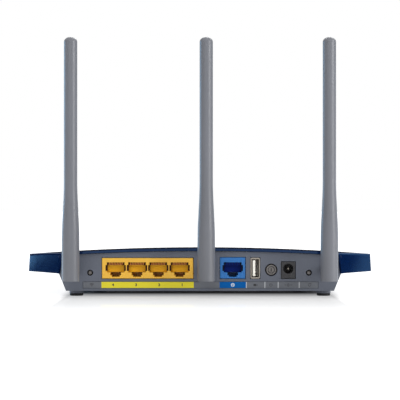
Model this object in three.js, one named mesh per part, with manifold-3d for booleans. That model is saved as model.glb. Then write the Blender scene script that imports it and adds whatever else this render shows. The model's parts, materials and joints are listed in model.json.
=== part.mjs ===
// A three-aerial desktop wireless router: an arched gloss cover with swept wings over a grey tub,
// a row of sockets and buttons on the rear panel, and three aerials that unscrew, swivel and fold.
// Millimetres. x runs along the sockets, +y towards the front edge, +z up. While the pieces are
// built, y = 0 is the outer face of the rear panel and z = 0 is the table.
import * as THREE from "three";
import { ConvexGeometry } from "three/addons/geometries/ConvexGeometry.js";
import { mergeVertices } from "three/addons/utils/BufferGeometryUtils.js";
import Module from "manifold-3d";

const wasm = await Module();
wasm.setup();

// ---------------------------------------------------------------- driving dimensions
const FIT = 0.3; // gap between pieces that touch

// Housing
const CASE_DEPTH = 160.6; // cover's rear lip to its front edge
const WING_REACH = 24.5; // each wing past the rear panel
const WING_SWEEP = 38; // wing tip forward of the rear lip
const COVER_T = 1.6;
const SKIRT_T = 2;
const REAR_LIP = 2; // cover behind the panel's face
const ARCH_RADIUS = 1580; // cover's arch across the width
const FRONT_DROP = 14.5; // cover's fall from crest to front edge
const DROP_START = 20; // where the fall begins, from the panel
const FRONT_RADIUS = 700; // front edge in plan
const FRONT_TAPER = 13.5; // each side's narrowing from wing tip to front
const SKIRT_REAR_H = 12; // bottom edge of the skirt above the underside, at the panel
const SKIRT_FRONT_H = 6.4; // and at the front edge
const WING_RISE = 1.3; // how much the skirt's bottom edge rises along the wing
const FLANGE_T = 1.6;
const PANEL_T = 2.2;
const PANEL_END = 9.5; // outer aerial's axis to the panel's end
const FLOOR_T = 2;
const TUB_WALL = 2;
const SIDE_LEAN = 5; // tub's sides lean in by this much towards the floor
const FRONT_LEAN = 10;
const TUB_SETBACK = 12; // tub's front edge behind the cover's
const TUB_TAPER = 4;
const TUB_CORNER = 16; // chamfer of the tub's front corners

// Height stack
const FOOT_H = 3.8;
const FOOT_R = 5; // moulded collar
const FOOT_PAD = 1.8; // rubber below the collar
const FOOT_STEP = 0.3; // rubber inside the collar's edge
const FOOT_PLUG = 0.9; // wall of the collar round the rubber's plug
const FOOT_EDGE = 1.5; // rear collars from the corners of the underside
const REAR_FOOT_Y = 10.5;
const FRONT_FOOT_IN = 21; // front feet from the panel's ends
const FRONT_FOOT_BACK = 36; // and from the front edge
const STANDOFF_H = 4.6;
const BOARD_T = 1.6;
const JACK_H = 14.6;
const JACK_HEADROOM = 4.6;

// Sockets and buttons, left to right seen from behind
const LAN_PORTS = 4;
const PLUG_W = 12; // modular-plug opening
const PLUG_H = 7;
const PLUG_FLOOR = 4.2; // opening above the housing's underside
const PORT_WALL = 2.7; // between neighbouring openings
const PORT_PITCH = PLUG_W + PORT_WALL;
const LAN_END = 2.1; // housing past the outer ports' cells
const LAN_H = 14.2;
const WAN_WALL = 2.75; // on each side of the single opening
const WAN_W = PLUG_W + 2 * WAN_WALL;
const JACK_DEPTH = 15.6;
const JACK_RECESS = 0.4;
const LATCH_W = 7.4;
const LATCH_H = 2;
const TAB_W = 5.4;
const TAB_H = 1.1;
const EAR_REACH = 1.1; // shallow windows past the opening's sides
const EAR_H = 3.7;
const EAR_DROP = 2.2; // windows below the opening's roof
const EAR_DEPTH = 3;
const CONTACTS = 8;
const CONTACT_PITCH = 1.1;
const CONTACT_W = 0.5;
const CONTACT_T = 0.5;
const CONTACT_DROP = 2.2; // back end of each spring below the opening's roof
const CONTACT_TIP = 1.8; // its front end, from the panel's face
const CARRIER_T = 2.6;
const USB_WALL = 0.4;
const USB_INSIDE_W = 5.1;
const USB_INSIDE_H = 12.5;
const USB_FLANGE_SIDE = 0.3; // flange past the shell's sides
const USB_FLANGE_END = 0.5; // and past its ends
const USB_FLANGE_T = 0.5;
const USB_NOTCH = 0.9; // square cut at each corner of the flange
const USB_FLANGE_W = USB_INSIDE_W + 2 * (USB_WALL + USB_FLANGE_SIDE);
const USB_FLANGE_H = USB_INSIDE_H + 2 * (USB_WALL + USB_FLANGE_END);
const USB_DEPTH = 14;
const USB_TONGUE_T = 1.84;
const USB_TONGUE_END = 0.7; // tongue from the shell's ends
const USB_TONGUE_H = USB_INSIDE_H - 2 * USB_TONGUE_END;
const USB_TONGUE_SIDE = 0.8; // tongue from the shell's left wall
const USB_TONGUE_SET = 0.8; // tongue behind the shell's face
const USB_BASE_T = 2; // block that the tongue grows from
const DC_BORE_R = 3.2;
const DC_WALL = 1.65; // beside the bore
const DC_ROOF = 1.6; // over the bore
const DC_BORE_Z = 7.1; // bore's axis above the board
const DC_W = 2 * (DC_BORE_R + DC_WALL);
const DC_H = DC_BORE_Z - FIT + DC_BORE_R + DC_ROOF;
const DC_BACK = 14;
const DC_BORE_END = 3; // wall behind the bore
const DC_PIN_R = 1;
const DC_PIN_SET = 1.6; // pin's tip behind the panel's face
const DC_PIN_TAIL = 1.5; // pin behind the housing
const POWER_BUTTON_R = 3.5;
const POWER_GAP = 0.8; // round the button
const POWER_HOLE_R = POWER_BUTTON_R + POWER_GAP;
const POWER_Z = 6.3; // button's axis above the board
const POWER_TRAVEL = 2.2;
const POWER_RIM = 0.4; // rolled rim proud of the panel
const POWER_DISH = 0.3; // and the middle behind the panel's face
const POWER_STEM_R = 1.5;
const SMALL_BUTTON_R = 1.4;
const SMALL_GAP = 0.7;
const SMALL_HOLE_R = SMALL_BUTTON_R + SMALL_GAP;
const SMALL_Z = 4.3;
const SMALL_TRAVEL = 0.6;
const SMALL_SET = 0.6; // button's end behind the panel's face
const SMALL_STEM_R = 0.9;

// Port label strip on the panel
const LABEL_BOTTOM = 2; // above the panel's lower edge
const LABEL_H = 4.2;
const LABEL_T = 0.2;
const LABEL_SINK = 0.05; // labels lie this far inside the surface around them
const LABEL_LEFT = 4.8; // strip past the left small button's axis
const LABEL_RIGHT = 6.3; // and past the right one's

// Aerials
const AERIAL_H = 13.75; // pivot and connector axis above the underside
const WHIP_LENGTH = 166.1;
const WHIP_LOW_R = 6;
const WHIP_TOP_R = 4.5;
const WHIP_TIP_H = 3.4; // height of the rounded tip
const WHIP_FLARE_Z = 20; // above the pivot, where the whip begins to narrow
const WHIP_SLIM_Z = 62; // and where it has narrowed
const PIVOT_R = 1.1;
const PIVOT_PLAY = 0.2;
const FORK_END_R = WHIP_LOW_R + FIT; // lower end's rounding about the pivot, on the panel's side
const FORK_PLAY = 0.4; // round the tongue's end
const TONGUE_W = 5;
const TONGUE_R = 4.2;
const THREAD_R = 3.1;
const THREAD_OUT = 5.6;
const NUT_R = 5;
const NUT_GRIPS = 16; // flats round the nut
const NUT_REAR_WALL = 1.25;
const NUT_GAP = 0.9; // between the nut and the panel
const NUT_RIM = 0.5;
const NECK_R = 2;
const NECK_HOLD = 0.6; // neck's end from the knuckle's fork side
const FERRULE_FLANGE_T = 0.8;
const HUB_T = 1.35;
const HUB_STEP = 0.4; // hub inside the nut's outline

// ---------------------------------------------------------------- derived places
const frontY = CASE_DEPTH - REAR_LIP;
const underside = FOOT_H;
const aerialZ = underside + AERIAL_H;
const skirtRearZ = underside + SKIRT_REAR_H;
const skirtFrontZ = underside + SKIRT_FRONT_H;
const floorTop = underside + FLOOR_T;
const boardBottom = floorTop + STANDOFF_H;
const boardTop = boardBottom + BOARD_T;
const jackBase = boardTop + FIT;
const crest = jackBase + JACK_H + JACK_HEADROOM + COVER_T;
const lanW = LAN_PORTS * PORT_PITCH + 2 * LAN_END;
const flangeFace = -THREAD_OUT - FIT;
const nutSeat = flangeFace - FERRULE_FLANGE_T - FIT;
const hubFront = nutSeat - NUT_REAR_WALL - FIT;
const hubBack = hubFront - HUB_T;
const pivotY = hubBack - FIT - FORK_END_R;

// [name, half width, gap to the piece on its left]
const ROW = [
  ["aerial_left", WHIP_LOW_R, 0],
  ["wifi", SMALL_HOLE_R, 4],
  ["lan", lanW / 2, 6.1],
  ["aerial_middle", WHIP_LOW_R, 2.9],
  ["wan", WAN_W / 2, 3.6],
  ["usb", USB_FLANGE_W / 2, 3.5],
  ["power", POWER_HOLE_R, 3.5],
  ["dc", DC_W / 2, 2.65],
  ["reset", SMALL_HOLE_R, 7.25],
  ["aerial_right", WHIP_LOW_R, 4.7],
];
const at = {};
{
  let right = 0;
  for (const [name, half, gap] of ROW) {
    at[name] = right + gap + half;
    right = at[name] + half;
  }
  const middle = (at.aerial_left + at.aerial_right) / 2;
  for (const name in at) at[name] -= middle;
}
const panelHalf = at.aerial_right + PANEL_END;
const tipX = panelHalf + WING_REACH;
const tipY = WING_SWEEP - REAR_LIP;
const aerials = ["left", "middle", "right"];

// ---------------------------------------------------------------- materials
const paint = (color, roughness, metalness = 0) =>
  new THREE.MeshStandardMaterial({ color, roughness, metalness });
const coverBlue = paint(0x0b2552, 0.12);
const caseGrey = paint(0x5c616c, 0.55);
const aerialGrey = paint(0x7c7d86, 0.5);
const rubber = paint(0x17171a, 0.85);
const steel = paint(0xb9bcc0, 0.3, 1);
const brass = paint(0xc9a252, 0.3, 1);
const gold = paint(0xd8b25a, 0.3, 1);
const lanYellow = paint(0xf2b53c, 0.45);
const wanBlue = paint(0x2a7ac6, 0.45);
const blackPlastic = paint(0x2b2b2e, 0.5);
const whitePlastic = paint(0xe9e4d8, 0.5);
const boardGreen = paint(0x1d5a34, 0.5);
const clearPlastic = paint(0xdfe6ea, 0.15);
const aluminium = paint(0xb4b8bc, 0.35, 1);
const paper = paint(0x7a7f88, 0.6);
const cableBlack = paint(0x202022, 0.6);

// ---------------------------------------------------------------- making solids
function solid(geometry) {
  const bare = geometry.clone();
  for (const name of Object.keys(bare.attributes)) {
    if (name !== "position") bare.deleteAttribute(name);
  }
  const merged = mergeVertices(bare, 1e-4);
  return new wasm.Manifold(
    new wasm.Mesh({
      numProp: 3,
      vertProperties: merged.attributes.position.array,
      triVerts: new Uint32Array(merged.index.array),
    }),
  );
}

const joined = (first, ...rest) => rest.reduce((all, s) => all.add(s), first);
const cut = (first, ...rest) => rest.reduce((left, s) => left.subtract(s), first);

// A box between two corners.
function block(x0, x1, y0, y1, z0, z1) {
  const g = new THREE.BoxGeometry(x1 - x0, y1 - y0, z1 - z0);
  return solid(g.translate((x0 + x1) / 2, (y0 + y1) / 2, (z0 + z1) / 2));
}

// A box given by its middle in x, its y span and its z span.
const cell = (x, width, y0, y1, z0, z1) => block(x - width / 2, x + width / 2, y0, y1, z0, z1);

function polygon(points) {
  return new THREE.Shape(points.map(([u, v]) => new THREE.Vector2(u, v)));
}

function extruded(shape, depth, curveSegments) {
  return new THREE.ExtrudeGeometry(shape, { depth, bevelEnabled: false, curveSegments });
}

// An outline in x and y, raised from z0 to z1.
const upright = (shape, z0, z1, curve = 12) =>
  solid(extruded(shape, z1 - z0, curve).translate(0, 0, z0));

// An outline in x and z, carried from y0 to y1.
const along = (shape, y0, y1, curve = 12) =>
  solid(extruded(shape, y1 - y0, curve).rotateX(Math.PI / 2).translate(0, y1, 0));

// An outline in y and z, carried from x0 to x1.
const across = (shape, x0, x1, curve = 12) => {
  const turn = new THREE.Matrix4().makeBasis(
    new THREE.Vector3(0, 1, 0),
    new THREE.Vector3(0, 0, 1),
    new THREE.Vector3(1, 0, 0),
  );
  return solid(extruded(shape, x1 - x0, curve).applyMatrix4(turn).translate(x0, 0, 0));
};

// A profile of [radius, height] turned about an axis along y through (x, z), or along z through
// (x, y). It climbs on its outer side.
const latheOf = (profile, sides) =>
  new THREE.LatheGeometry(profile.map(([r, t]) => new THREE.Vector2(r, t)), sides);
const turnedY = (profile, x, z, sides = 20) => solid(latheOf(profile, sides).translate(x, 0, z));
const turnedZ = (profile, x, y, sides = 20) =>
  solid(latheOf(profile, sides).rotateX(Math.PI / 2).translate(x, y, 0));

const rod = (r, t0, t1) => [[0, t0], [r, t0], [r, t1], [0, t1]];

// ---------------------------------------------------------------- the scene graph
const router = new THREE.Group();

function place(name, shape, material, parent = router) {
  const raw = shape.getMesh();
  const g = new THREE.BufferGeometry();
  g.setAttribute("position", new THREE.BufferAttribute(raw.vertProperties, 3));
  g.setIndex(new THREE.BufferAttribute(raw.triVerts, 1));
  const flat = g.toNonIndexed();
  flat.computeVertexNormals();
  const mesh = new THREE.Mesh(flat, material);
  mesh.name = name;
  parent.add(mesh);
}

// ---------------------------------------------------------------- cover surfaces
const archDrop = (x) => ARCH_RADIUS - Math.sqrt(ARCH_RADIUS ** 2 - x * x);
const frontFall = (y) =>
  FRONT_DROP * (Math.max(0, y - DROP_START) / (frontY - DROP_START)) ** 2;
const coverTop = (x, y) => crest - archDrop(x) - frontFall(y);
const partLine = (y) =>
  skirtRearZ + ((skirtFrontZ - skirtRearZ) * Math.max(0, y)) / frontY;
const skirtBottom = (x, y) =>
  partLine(y) + (WING_RISE * Math.max(0, Math.abs(x) - panelHalf)) / WING_REACH;

// A block over the whole plan whose lower and upper faces follow two height functions.
function between(low, high) {
  const columns = 12;
  const rows = 8;
  const wide = 2 * tipX + 8;
  const deep = CASE_DEPTH + 8;
  const g = new THREE.BoxGeometry(wide, deep, 2, columns, rows, 1);
  g.translate(0, deep / 2 - REAR_LIP - 4, 0);
  const p = g.attributes.position;
  for (let i = 0; i < p.count; i++) {
    const height = p.getZ(i) > 0 ? high : low;
    p.setZ(i, height(p.getX(i), p.getY(i)));
  }
  return solid(g);
}

// The cover's outline in plan, drawn in by a distance: lip, swept wing, side, and a bowed front.
function plan(inset) {
  const corners = [
    [panelHalf - 1.5, -REAR_LIP],
    [tipX, tipY],
    [tipX - FRONT_TAPER, frontY],
  ];
  const ring = [...corners, ...corners.map(([x, y]) => [-x, y]).reverse()];
  const edges = ring.map((p, i) => {
    const q = ring[(i + 1) % ring.length];
    const length = Math.hypot(q[0] - p[0], q[1] - p[1]);
    const inward = [-(q[1] - p[1]) / length, (q[0] - p[0]) / length];
    return { inward, reach: inward[0] * p[0] + inward[1] * p[1] + inset };
  });
  const drawn = edges.map((b, i) => {
    const a = edges[(i + edges.length - 1) % edges.length];
    const det = a.inward[0] * b.inward[1] - a.inward[1] * b.inward[0];
    return [
      (a.reach * b.inward[1] - b.reach * a.inward[1]) / det,
      (a.inward[0] * b.reach - b.inward[0] * a.reach) / det,
    ];
  });
  const low = -10;
  const high = crest + 10;
  const radius = FRONT_RADIUS - inset;
  const bow = new THREE.Shape();
  const half = Math.asin((tipX + 5) / radius);
  bow.moveTo(-tipX - 5, -20);
  bow.lineTo(tipX + 5, -20);
  bow.absarc(0, frontY - FRONT_RADIUS, radius, Math.PI / 2 - half, Math.PI / 2 + half, false);
  return upright(polygon(drawn), low, high).intersect(upright(bow, low, high, 8));
}

// ---------------------------------------------------------------- tub surfaces
// Six corners of the tub at one level, drawn in by a wall.
function tubRing(lean, frontLean, inset, level) {
  const rearHalf = panelHalf - lean - inset;
  const frontHalf = rearHalf - TUB_TAPER;
  const front = frontY - TUB_SETBACK - frontLean - inset;
  const rear = inset ? PANEL_T : 0;
  const side = [
    [rearHalf, rear],
    [frontHalf, front - TUB_CORNER],
    [frontHalf - TUB_CORNER, front],
  ];
  return side.flatMap(([x, y]) => [
    new THREE.Vector3(x, y, level(y)),
    new THREE.Vector3(-x, y, level(y)),
  ]);
}

const tubOuter = () =>
  solid(
    new ConvexGeometry([
      ...tubRing(SIDE_LEAN, FRONT_LEAN, 0, () => underside),
      ...tubRing(0, 0, 0, partLine),
    ]),
  );
const tubInner = () =>
  solid(
    new ConvexGeometry([
      ...tubRing(SIDE_LEAN, FRONT_LEAN, TUB_WALL, () => floorTop),
      ...tubRing(0, 0, TUB_WALL, partLine),
      ...tubRing(0, 0, TUB_WALL, () => crest),
    ]),
  );

// ---------------------------------------------------------------- places of fasteners and feet
const mirrored = (x, y) => [["left", -x, y], ["right", x, y]];
const inCorners = (rearIn, rearY, frontIn, frontBack) => [
  ...mirrored(panelHalf - rearIn, rearY).map(([side, x, y]) => ["rear_" + side, x, y]),
  ...mirrored(panelHalf - frontIn, frontY - frontBack).map(([side, x, y]) => ["front_" + side, x, y]),
];
const screws = inCorners(13, 24, 15, 52);
const feet = inCorners(SIDE_LEAN + FOOT_EDGE + FOOT_R, REAR_FOOT_Y, FRONT_FOOT_IN, FRONT_FOOT_BACK);
const plugR = FOOT_R - FOOT_PLUG;
const SCREW_R = 1.3;
const SCREW_HEAD_R = 2.7;
const SCREW_HEAD_T = 1.9;
const SCREW_BITE = 8; // length held in the cover's post
const SCREW_SINK = 0.4; // head below the underside
const POST_R = 3;
const BOSS_R = 3.8;
const BOARD_POST_R = 2.6;
const bossTop = boardBottom - FIT;
const wellTop = underside + SCREW_SINK + SCREW_HEAD_T + FIT;

const LIGHTS = 9;
const LIGHT_PITCH = 9;
const LIGHT_W = 1.6;
const LIGHT_L = 3.4;
const lightsY = frontY - 20;
const lights = Array.from({ length: LIGHTS }, (_, i) => (i - (LIGHTS - 1) / 2) * LIGHT_PITCH);

// ---------------------------------------------------------------- housing
function topCover() {
  const shell = between(skirtBottom, coverTop).intersect(plan(0));
  const under = (x, y) => coverTop(x, y) - COVER_T;
  const hollow = between(() => -5, under).intersect(plan(SKIRT_T));
  const panelGap = between(() => -5, under).intersect(
    block(-panelHalf - FIT, panelHalf + FIT, -10, PANEL_T + SKIRT_T, -10, crest + 5),
  );
  const posts = screws.map(([, x, y]) =>
    cut(
      turnedZ(rod(POST_R, bossTop + FIT, under(x, y) + COVER_T / 2), x, y, 12),
      turnedZ(rod(SCREW_R + FIT, bossTop - 1, bossTop + SCREW_BITE + 1), x, y, 10),
    ),
  );
  const windows = lights.map((x) =>
    cell(x, LIGHT_W, lightsY - LIGHT_L / 2, lightsY + LIGHT_L / 2, boardTop, crest),
  );
  return cut(joined(cut(shell, hollow, panelGap), ...posts), ...windows);
}

function rearPanel() {
  const top = crest - COVER_T - FIT;
  const radius = ARCH_RADIUS - COVER_T - FIT;
  const half = Math.asin(panelHalf / radius);
  const shape = new THREE.Shape();
  shape.moveTo(-panelHalf, skirtRearZ);
  shape.lineTo(-panelHalf + SIDE_LEAN, underside);
  shape.lineTo(panelHalf - SIDE_LEAN, underside);
  shape.lineTo(panelHalf, skirtRearZ);
  shape.absarc(0, top - radius, radius, Math.PI / 2 - half, Math.PI / 2 + half, false);
  return along(shape, 0, PANEL_T, 10);
}

function panelCuts() {
  const hole = (x, z, r, sides = 20) => turnedY(rod(r, -1, PANEL_T + 1), x, z, sides);
  const window = (x, width, z0, z1) =>
    cell(x, width + 2 * FIT, -1, PANEL_T + 1, z0 - FIT, z1 + FIT);
  const label = labelSpan();
  return [
    window(at.lan, lanW, jackBase, jackBase + LAN_H),
    window(at.wan, WAN_W, jackBase, jackBase + JACK_H),
    window(at.usb, USB_FLANGE_W, usbZ - USB_FLANGE_H / 2, usbZ + USB_FLANGE_H / 2),
    window(at.dc, DC_W, jackBase, jackBase + DC_H),
    hole(at.power, boardTop + POWER_Z, POWER_HOLE_R),
    hole(at.wifi, boardTop + SMALL_Z, SMALL_HOLE_R, 16),
    hole(at.reset, boardTop + SMALL_Z, SMALL_HOLE_R, 16),
    ...aerials.map((side) => hole(at["aerial_" + side], aerialZ, THREAD_R + FIT, 16)),
    block(label.x0 - FIT, label.x1 + FIT, -1, LABEL_T + 2 * FIT, label.z0 - FIT, label.z1 + FIT),
  ];
}

const usbZ = jackBase + USB_FLANGE_H / 2;
const labelSpan = () => ({
  x0: at.wifi - LABEL_LEFT,
  x1: at.reset + LABEL_RIGHT,
  z0: underside + LABEL_BOTTOM,
  z1: underside + LABEL_BOTTOM + LABEL_H,
});

const KEYHOLE_X = 62;
const KEYHOLE_Y = 70;
const KEYHOLE_HEAD_R = 3.8;
const KEYHOLE_SLOT_W = 4.4;
const KEYHOLE_SLOT = 8;
const VENTS = 13;
const VENT_PITCH = 6;
const VENT_W = 2.2;
const VENT_L = 22;
const VENT_ROWS = [44, 100];
const RATING_W = 72;
const RATING_L = 24;
const ratingY = (VENT_ROWS[0] + VENT_ROWS[1]) / 2;

function floorCuts() {
  const through = [underside - 1, floorTop + 1];
  const keyholes = [-KEYHOLE_X, KEYHOLE_X].flatMap((x) => [
    turnedZ(rod(KEYHOLE_HEAD_R, ...through), x, KEYHOLE_Y, 16),
    cell(x, KEYHOLE_SLOT_W, KEYHOLE_Y, KEYHOLE_Y + KEYHOLE_SLOT, ...through),
  ]);
  const vents = VENT_ROWS.flatMap((y) =>
    Array.from({ length: VENTS }, (_, i) =>
      cell((i - (VENTS - 1) / 2) * VENT_PITCH, VENT_W, y - VENT_L / 2, y + VENT_L / 2, ...through),
    ),
  );
  const rating = cell(
    0,
    RATING_W + 2 * FIT,
    ratingY - RATING_L / 2 - FIT,
    ratingY + RATING_L / 2 + FIT,
    underside - 1,
    underside + LABEL_T + 2 * FIT,
  );
  const wells = screws.flatMap(([, x, y]) => [
    turnedZ(rod(SCREW_HEAD_R + FIT, underside - 1, wellTop), x, y, 12),
    turnedZ(rod(SCREW_R + FIT, underside, bossTop + 1), x, y, 10),
  ]);
  return [...keyholes, ...vents, rating, ...wells];
}

const BOARD_POSTS = [[-60, 30], [60, 30], [-58, 112], [58, 112]];

function bottomCase() {
  const skin = tubOuter();
  const flange = between(skirtBottom, (x, y) => skirtBottom(x, y) + FLANGE_T).intersect(
    plan(SKIRT_T + FIT),
  );
  const tray = cut(joined(skin, flange), tubInner());
  const bosses = screws.map(([, x, y]) =>
    turnedZ(rod(BOSS_R, floorTop - 1, bossTop), x, y, 12),
  );
  const posts = boardPosts().map(([x, y]) =>
    turnedZ(rod(BOARD_POST_R, floorTop - 1, boardBottom - FIT), x, y, 10),
  );
  const collars = feet.map(([, x, y]) =>
    turnedZ(rod(FOOT_R, FOOT_PAD, underside + 1), x, y, 16),
  );
  const sockets = feet.map(([, x, y]) =>
    turnedZ(rod(plugR, FOOT_PAD - 1, FOOT_PAD + 1), x, y, 16),
  );
  // the flange is cleared from the panel's face, and from behind the cover's lip
  const rearTrim = block(-tipX - 5, tipX + 5, -20, 0, -10, crest + 5);
  const body = joined(cut(tray, rearTrim), rearPanel(), ...bosses, ...posts, ...collars);
  return cut(body, ...floorCuts(), ...panelCuts(), ...sockets);
}

const boardHalf = panelHalf - 15.5;
const boardFront = frontY - 26.6;
const tongueHalf = ((LIGHTS - 1) * LIGHT_PITCH) / 2 + 6;
const boardPosts = () => BOARD_POSTS.map(([x, y]) => [x, Math.min(y, boardFront - 8)]);

function mainBoard() {
  const front = lightsY + 3;
  const outline = polygon([
    [-boardHalf, PANEL_T + 0.7],
    [boardHalf, PANEL_T + 0.7],
    [boardHalf, boardFront],
    [tongueHalf, boardFront],
    [tongueHalf, front],
    [-tongueHalf, front],
    [-tongueHalf, boardFront],
    [-boardHalf, boardFront],
  ]);
  const notches = screws.map(([, x, y]) =>
    turnedZ(rod(BOSS_R + FIT, boardBottom - 1, boardTop + 1), x, y, 12),
  );
  return cut(upright(outline, boardBottom, boardTop), ...notches);
}

// ---------------------------------------------------------------- modular sockets
const plugZ = jackBase + PLUG_FLOOR;
const contactZ = plugZ + PLUG_H;

// The space a modular plug goes into, with its latch steps below and shallow side windows.
function plugSpace(x, back) {
  const mouth = JACK_RECESS - 1;
  const earZ = plugZ + PLUG_H - EAR_DROP;
  return joined(
    cell(x, PLUG_W, mouth, back, plugZ, plugZ + PLUG_H),
    cell(x, LATCH_W, mouth, back, plugZ - LATCH_H, plugZ + 0.5),
    cell(x, TAB_W, mouth, back, plugZ - LATCH_H - TAB_H, plugZ),
    cell(x, PLUG_W + 2 * EAR_REACH, mouth, JACK_RECESS + EAR_DEPTH, earZ - EAR_H, earZ),
  );
}

function modularJack(middle, width, height, ports) {
  const body = cell(middle, width, JACK_RECESS, JACK_DEPTH, jackBase, jackBase + height);
  const backPocket = cell(
    middle,
    (ports.length - 1) * PORT_PITCH + PLUG_W,
    JACK_DEPTH - CARRIER_T,
    JACK_DEPTH + 1,
    plugZ - LATCH_H,
    plugZ + PLUG_H,
  );
  const holes = ports.map((x) => plugSpace(x, JACK_DEPTH - CARRIER_T + 0.1));
  return cut(body, backPocket, ...holes);
}

// Spring contacts of a row of ports on one carrier that closes the back of the housing.
function contactInsert(middle, ports) {
  const back = JACK_DEPTH - CARRIER_T + FIT;
  const carrier = cell(
    middle,
    (ports.length - 1) * PORT_PITCH + PLUG_W - 2 * FIT,
    back,
    JACK_DEPTH,
    plugZ - LATCH_H + FIT,
    contactZ - FIT,
  );
  const spring = polygon([
    [back + CONTACT_T, contactZ - CONTACT_DROP],
    [back + CONTACT_T, contactZ - CONTACT_DROP + CONTACT_T],
    [CONTACT_TIP, contactZ - FIT],
    [CONTACT_TIP - CONTACT_T, contactZ - FIT - CONTACT_T],
  ]);
  const springs = ports.flatMap((x) =>
    Array.from({ length: CONTACTS }, (_, i) => {
      const middleX = x + (i - (CONTACTS - 1) / 2) * CONTACT_PITCH;
      return across(spring, middleX - CONTACT_W / 2, middleX + CONTACT_W / 2);
    }),
  );
  return joined(carrier, ...springs);
}

const lanPorts = Array.from(
  { length: LAN_PORTS },
  (_, i) => at.lan + (i - (LAN_PORTS - 1) / 2) * PORT_PITCH,
);

// ---------------------------------------------------------------- USB and power sockets
function usbShell() {
  const tube = (w, h, y0, y1) => cell(at.usb, w, y0, y1, usbZ - h / 2, usbZ + h / 2);
  const corners = [-1, 1].flatMap((i) =>
    [-1, 1].map((k) => {
      const z = usbZ + (k * USB_FLANGE_H) / 2;
      const x = at.usb + (i * USB_FLANGE_W) / 2;
      return cell(x, USB_NOTCH, -1, USB_FLANGE_T, z - USB_NOTCH / 2, z + USB_NOTCH / 2);
    }),
  );
  return cut(
    joined(
      tube(USB_INSIDE_W + 2 * USB_WALL, USB_INSIDE_H + 2 * USB_WALL, 0, USB_DEPTH),
      tube(USB_FLANGE_W, USB_FLANGE_H, 0, USB_FLANGE_T),
    ),
    tube(USB_INSIDE_W, USB_INSIDE_H, -1, USB_DEPTH + 1),
    ...corners,
  );
}

function usbTongue() {
  const left = at.usb - USB_INSIDE_W / 2 + USB_TONGUE_SIDE;
  const half = USB_TONGUE_H / 2;
  const base = USB_INSIDE_H / 2 - FIT;
  const front = USB_DEPTH - USB_BASE_T;
  return joined(
    block(left, left + USB_TONGUE_T, USB_TONGUE_SET, front + 1, usbZ - half, usbZ + half),
    cell(at.usb, USB_INSIDE_W - 2 * FIT, front, USB_DEPTH, usbZ - base, usbZ + base),
  );
}

function dcJack() {
  const bore = (r, y0, y1) => turnedY(rod(r, y0, y1), at.dc, boardTop + DC_BORE_Z, 20);
  return cut(
    cell(at.dc, DC_W, JACK_RECESS, DC_BACK, jackBase, jackBase + DC_H),
    bore(DC_BORE_R, -1, DC_BACK - DC_BORE_END),
    bore(DC_PIN_R + FIT, -1, DC_BACK + 1),
  );
}

function dcPin() {
  const tail = DC_BACK + DC_PIN_TAIL;
  const pin = [
    [0, DC_PIN_SET],
    [DC_PIN_R - 0.3, DC_PIN_SET],
    [DC_PIN_R, DC_PIN_SET + 0.6],
    [DC_PIN_R, tail],
    [0, tail],
  ];
  return turnedY(pin, at.dc, boardTop + DC_BORE_Z, 12);
}

// ---------------------------------------------------------------- buttons and their switches
const POWER_CAP_BACK = 6;
const SMALL_CAP_BACK = 5.4;

function powerButton() {
  const ring = POWER_BUTTON_R;
  return turnedY(
    [
      [0, POWER_DISH],
      [ring - 1.4, POWER_DISH],
      [ring - 1.2, 0],
      [ring - 0.9, -POWER_RIM],
      [ring - 0.3, -POWER_RIM],
      [ring, 0],
      [ring, POWER_CAP_BACK],
      [POWER_STEM_R, POWER_CAP_BACK],
      [POWER_STEM_R, POWER_CAP_BACK + 6],
      [0, POWER_CAP_BACK + 6],
    ],
    at.power,
    boardTop + POWER_Z,
  );
}

function switchBody(x, z, width, height, front, depth, stemR) {
  return cut(
    cell(x, width, front, front + depth, jackBase, jackBase + height),
    turnedY(rod(stemR + FIT, front - 1, front + depth - 1), x, z, 16),
  );
}

function smallButton(x) {
  return turnedY(
    [
      [0, SMALL_SET],
      [SMALL_BUTTON_R - 0.3, SMALL_SET],
      [SMALL_BUTTON_R, SMALL_SET + 0.3],
      [SMALL_BUTTON_R, SMALL_CAP_BACK],
      [SMALL_STEM_R, SMALL_CAP_BACK],
      [SMALL_STEM_R, SMALL_CAP_BACK + 3],
      [0, SMALL_CAP_BACK + 3],
    ],
    x,
    boardTop + SMALL_Z,
    12,
  );
}

// ---------------------------------------------------------------- lights
function lightGuide() {
  const barZ = boardTop + 3;
  const span = (LIGHTS - 1) * LIGHT_PITCH + LIGHT_W;
  const prongs = lights.map((x) => {
    const half = LIGHT_L / 2 - FIT;
    const top = coverTop(x, lightsY + half) - 0.2;
    return cell(x, LIGHT_W - 2 * FIT, lightsY - half, lightsY + half, boardTop + 1.9, top);
  });
  return joined(cell(0, span, lightsY - 1, lightsY + 1, barZ, barZ + 1.4), ...prongs);
}

function ledStrip() {
  const base = boardTop + FIT;
  const lamps = lights.map((x) => cell(x, 1.6, lightsY - 0.8, lightsY + 0.8, base + 0.2, base + 1.2));
  return joined(
    cell(0, (LIGHTS - 1) * LIGHT_PITCH + 3, lightsY - 1.2, lightsY + 1.2, base, base + 0.4),
    ...lamps,
  );
}

// ---------------------------------------------------------------- board parts
const chip = (x, y, w, l, h) =>
  block(x - w / 2, x + w / 2, y - l / 2, y + l / 2, boardTop + FIT, boardTop + FIT + h);
const PROCESSOR = { x: -5, y: 68, size: 14, height: 1.2 };

function heatSink() {
  const base = boardTop + FIT + PROCESSOR.height + FIT;
  const size = 24;
  const fins = 7;
  const finT = 1.2;
  const { x, y } = PROCESSOR;
  const pitch = (size - finT) / (fins - 1);
  const blades = Array.from({ length: fins }, (_, i) =>
    cell(x - size / 2 + finT / 2 + i * pitch, finT, y - size / 2, y + size / 2, base + 1, base + 7.5),
  );
  return joined(cell(x, size, y - size / 2, y + size / 2, base, base + 1.8), ...blades);
}

// ---------------------------------------------------------------- aerials
const jackTail = PANEL_T + FIT + 4.8;

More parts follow.
